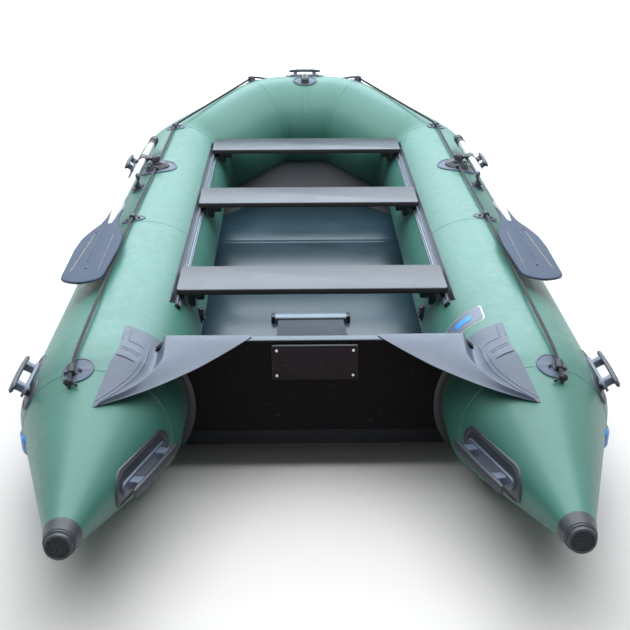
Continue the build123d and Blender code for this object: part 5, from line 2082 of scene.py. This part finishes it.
class BOAT_OT_oars(bpy.types.Operator):
    """Builds the two oars with their pins, grips and blades, and their clips"""
    bl_idname = "boat.oars"
    bl_label = "Oars and clips"
    bl_options = {"REGISTER", "UNDO"}

    shaft_front, grip_front, neck = -0.225, -0.330, 0.590
    spine_end = 1.215
    # Distance aft of the pin and half width of the blade.
    outline = ((0.640, 0.021), (0.723, 0.024), (0.788, 0.031), (0.852, 0.051), (0.900, 0.063), (0.943, 0.071),
               (1.038, 0.075), (1.145, 0.071), (1.248, 0.068), (1.277, 0.065), (1.296, 0.056), (1.310, 0.036),
               (1.318, 0.012))
    clip_aft = 0.255         # from the pin to the clip's middle
    clip_long = 0.026

    def execute(self, context):
        self.shaft()
        self.grip()
        self.pin()
        self.blade()
        self.clips()
        return {"FINISHED"}

    def both(self, made, name, finish, slot, node=None, angle=40):
        """One piece for each oar, riding that oar."""
        twin = copy_of(made, MIRROR)
        for obj, side in ((made, "starboard"), (twin, "port")):
            finish_piece(obj, f"{side}_{name}", material(finish) if finish else None, f"{side}_oar",
                         [f"{side}_{node}"] if node else (), angle)

    def along_oar(self, profile, sides=48):
        return apply_place(lathe(profile, sides), OAR @ ALONG_X)

    def shaft(self):
        front, back = self.shaft_front, self.neck + 0.02
        tube = self.along_oar([(0.0150, front), (SHAFT_R - 0.0004, front + 0.0004), (SHAFT_R, front + 0.002),
                               (SHAFT_R, back)], 56)
        self.both(tube, "oar_tube", "anodised_tube", "anodised_tube", "oar_shaft")
        sleeve = self.along_oar([(0.0150, -0.0240), (0.0192, -0.0236), (0.0198, -0.0215), (0.0190, -0.0196),
                                 (0.0190, 0.0196), (0.0198, 0.0215), (0.0192, 0.0236), (0.0150, 0.0240)], 56)
        wedge = bevel(block((0.030, 0.010, 0.012), (0, -0.021, 0.004)), 0.003, 2, 30)
        self.both(join([sleeve, apply_place(wedge, OAR)]), "oar_sleeve", "black_rubber", "moulded_rubber")

    def grip(self):
        at = self.grip_front
        profile = [(0.0040, at + 0.0004), (0.0110, at + 0.0014), (0.0160, at + 0.0062), (0.0188, at + 0.0140),
                   (0.0196, at + 0.0240), (0.0188, at + 0.0420), (0.0180, at + 0.0640), (0.0184, at + 0.0860),
                   (0.0197, at + 0.0960), (0.0199, at + 0.1030), (0.0186, at + 0.1060), (0.0150, at + 0.1066)]
        rings = [ring(0.0183, 0.0011, (0, 0, at + 0.034 + 0.009 * i), (0, 0, 0), 40, 8) for i in range(6)]
        rings = [apply_place(loop, OAR @ ALONG_X) for loop in rings]
        self.both(join([self.along_oar(profile), *rings]), "oar_handle", "black_rubber", "moulded_rubber",
                  "oar_grip")

    def pin(self):
        """The swivel ring on the boss, the pin through the shaft and its ball."""
        swivel = tube_ring(BOSS_R + 0.0005, BOSS_R + 0.0052, 0.0340, 0.0500)
        swivel = apply_place(swivel, LOCK)
        outboard = -inboard
        start = LOCK @ Vector((0, 0, OAR_LIFT)) + outboard * (BOSS_R + 0.003)
        end = LOCK @ Vector((0, -OAR_OUT - 0.034, OAR_LIFT))
        pin = rod_between(start, end, 0.0050, 28)
        head = ball(0.0090, end, 28, 18)
        nut = rod_between(end - outboard * 0.0150, end - outboard * 0.0100, 0.0078, 6)
        self.both(join([swivel, pin, head, bevel(nut, 0.0006, 2, 30)]), "oar_swivel", "dark_steel",
                  "steel_pin", "oar_pin")

    def half_width(self, at):
        for (a, wide_a), (b, wide_b) in zip(self.outline, self.outline[1:]):
            if at <= b:
                return wide_a + (wide_b - wide_a) * max(0, at - a) / (b - a)
        return self.outline[-1][1]

    def blade(self):
        reach = [0.640 + 0.0085 * i for i in range(76)] + [1.283, 1.290, 1.297, 1.304, 1.310, 1.314, 1.318]
        across = [-0.0765 + 0.00225 * i for i in range(69)]
        rings = []
        for at in reach:
            half = self.half_width(at)
            spots = [max(-half, min(half, v)) for v in across]
            top = [Vector((at, v, self.face(at, v, half, 1))) for v in spots]
            under = [Vector((at, v, -self.face(at, v, half, -1))) for v in reversed(spots)]
            rings.append(top + under)
        blade = skin_of(rings, "blade")
        blade.data.materials.append(material("blade_plastic"))
        # The grooves' upper faces are painted black: painted shade in the recesses.
        paint_faces(blade, material("black_rubber"), self.shaded_groove)
        roll = OAR @ Matrix.Rotation(radians(6.3), 4, "X")
        blade = apply_place(blade, roll)
        neck = self.along_oar([(0.0172, self.neck), (0.0204, self.neck + 0.001), (0.0214, self.neck + 0.004),
                               (0.0214, self.neck + 0.010), (0.0206, self.neck + 0.014), (0.0200, 0.640),
                               (0.0160, 0.690), (0.0112, 0.750), (0.0080, 0.800)], 48)
        self.both(join([blade, neck]), "oar_paddle", None, "blade_plastic", "oar_blade", 50)
        # A black plug fills the hole near the blade's tip: painted shade in the hole.
        hole = apply_place(rod(0.0034, 0.0130, (1.207, 0, 0.0005), 20), roll)
        self.both(hole, "oar_hole", "black_rubber", "moulded_rubber")

    def fine_groove(self, at):
        return -0.034 - 0.03 * (at - 0.87)

    def deep_groove(self, at):
        return 0.031 + 0.04 * (at - 0.87)

    def shaded_groove(self, face):
        spot = face.calc_center_median()
        deep = abs(spot.y - self.deep_groove(spot.x)) < 0.0045
        fine = abs(spot.y - self.fine_groove(spot.x)) < 0.0018
        return spot.z > 0 and 0.89 < spot.x < 1.225 and (deep or fine)

    def face(self, at, across, half, way):
        """Half thickness of the blade: a rounded rim, a double spine and two grooves."""
        rim = max(0.0, (abs(across) - (half - 0.006)) / 0.006)
        body = 0.0012 + 0.0028 * sqrt(max(0.0, 1 - rim**2))
        fade = max(0.0, min(1.0, (self.spine_end - at) / 0.09))
        spine = sqrt(max(0.0, 0.0095**2 - across**2)) * 0.8 * fade
        body = max(body, spine - 0.0012 * fade * (abs(across) < 0.0016))
        body += 0.0010 * max(0.0, 1 - abs(abs(across) - 0.0140) / 0.003) * fade
        if way > 0 and 0.87 < at < 1.24:
            for middle, wide, deep in ((self.fine_groove(at), 0.0030, 0.0018),
                                       (self.deep_groove(at), 0.0060, 0.0036)):
                body -= deep * max(0.0, 1 - (abs(across - middle) / wide) ** 2)
        return body

    def clips(self):
        """Oval pads and open moulded clips that hold the shafts."""
        spot = OAR @ Vector((self.clip_aft, 0, 0))
        station = spot.y - TRANSOM_Y
        angle = atan2(spot.x - AXIS_X, spot.z - TUBE_R)
        height = hypot(spot.x - AXIS_X, spot.z - TUBE_R) - TUBE_R
        place_ = tube_frame(station, angle)
        base = pad(ellipse(0.042, 0.034, 48), place_, 0.0042, True)
        inner, outer = SHAFT_R + 0.0012, SHAFT_R + 0.0062
        arc = [radians(-148 + 218 * i / 26) for i in range(27)]
        cup = [(outer * sin(a), -outer * cos(a)) for a in arc]
        lip = [(outer + 0.0050, -0.0060), (outer + 0.0030, -0.0095)]
        inside = [(inner * sin(a), -inner * cos(a)) for a in reversed(arc)]
        clip = plate(cup + lip + inside, self.clip_long, "clip")
        clip = apply_place(clip, OAR @ across_boat(self.clip_aft - self.clip_long / 2))
        clip = bevel(mend(clip), 0.0008, 2, 30)
        post = bevel(block((self.clip_long, 0.022, height - inner - 0.001),
                           (0, 0, (height - inner - 0.001) / 2 + 0.0005)), 0.0012, 2, 30)
        foot = bevel(block((0.036, 0.040, 0.006), (0, 0, 0.0055)), 0.0015, 2, 30)
        frame_parts = [apply_place(post, place_), apply_place(foot, place_)]
        finish_piece(both_sides(base), "clip_pads", material("pad_rubber"),
                     nodes=["oar_clips"], angle=50)
        finish_piece(both_sides(join([clip, *frame_parts])), "clips", material("moulded_rubber"),
                     angle=40)


class BOAT_OT_label(bpy.types.Operator):
    """Lays the plain label on the starboard tube's inner flank"""
    bl_idname = "boat.label"
    bl_label = "Label"
    bl_options = {"REGISTER", "UNDO"}

    def execute(self, context):
        place_ = tube_frame(0.182, radians(-41.5))
        layers = (("label_border", "label_white", 0.048, 0.068, 0.012, 0.0010),
                  ("label_field", "label_film", 0.0445, 0.0645, 0.010, 0.0022),
                  ("label_block", "accent_plastic", 0.016, 0.030, 0.006, 0.0030))
        for name, finish, along, across, corner, rise in layers:
            outline = self.dense(rounded_box(along, across, corner, 6))
            sheet = inset_rings(outline, [(0, -0.0004), (0, rise * 0.8), (0.0006, rise)], 8)
            finish_piece(drape(sheet, place_), name, material(finish), angle=50)
        return {"FINISHED"}

    @staticmethod
    def dense(outline, step=0.006):
        """The outline with points along its straight edges."""
        made = []
        for (ax, ay), (bx, by) in zip(outline, outline[1:] + outline[:1]):
            count = max(1, round(hypot(bx - ax, by - ay) / step))
            made += [(ax + (bx - ax) * i / count, ay + (by - ay) * i / count) for i in range(count)]
        return made


# ---------------------------------------------------------------------------
# Registration
# ---------------------------------------------------------------------------
PIECES = (
    BOAT_OT_stage,
    BOAT_OT_tubes,
    BOAT_OT_strakes,
    BOAT_OT_seat_rails,
    BOAT_OT_benches,
    BOAT_OT_transom,
    BOAT_OT_deck,
    BOAT_OT_splash_skirts,
    BOAT_OT_lifeline,
    BOAT_OT_fairleads,
    BOAT_OT_handles,
    BOAT_OT_stern_caps,
    BOAT_OT_bow_fittings,
    BOAT_OT_oarlocks,
    BOAT_OT_oars,
    BOAT_OT_label,
)


class BOAT_PT_panel(bpy.types.Panel):
    """Sizes, colours and one button for each group of pieces"""
    bl_idname = "BOAT_PT_panel"
    bl_label = "Inflatable Boat"
    bl_space_type = "VIEW_3D"
    bl_region_type = "UI"
    bl_category = "Boat"

    def draw(self, context):
        column = self.layout.column()
        for group in (context.scene.boat_sizes, context.scene.boat_colours):
            for key in group.__annotations__:
                column.prop(group, key)
        for piece in PIECES:
            column.operator(piece.bl_idname)


CLASSES = (BoatColours, BoatSizes, *PIECES, BOAT_PT_panel)


def register():
    for kind in CLASSES:
        bpy.utils.register_class(kind)
    bpy.types.Scene.boat_colours = bpy.props.PointerProperty(type=BoatColours)
    bpy.types.Scene.boat_sizes = bpy.props.PointerProperty(type=BoatSizes)


def unregister():
    del bpy.types.Scene.boat_sizes
    del bpy.types.Scene.boat_colours
    for kind in reversed(CLASSES):
        bpy.utils.unregister_class(kind)


def main():
    register()
    make_materials()
    for piece in PIECES:
        group, name = piece.bl_idname.split(".")
        getattr(getattr(bpy.ops, group), name)()
    deselect()


if __name__ == "__main__":
    main()
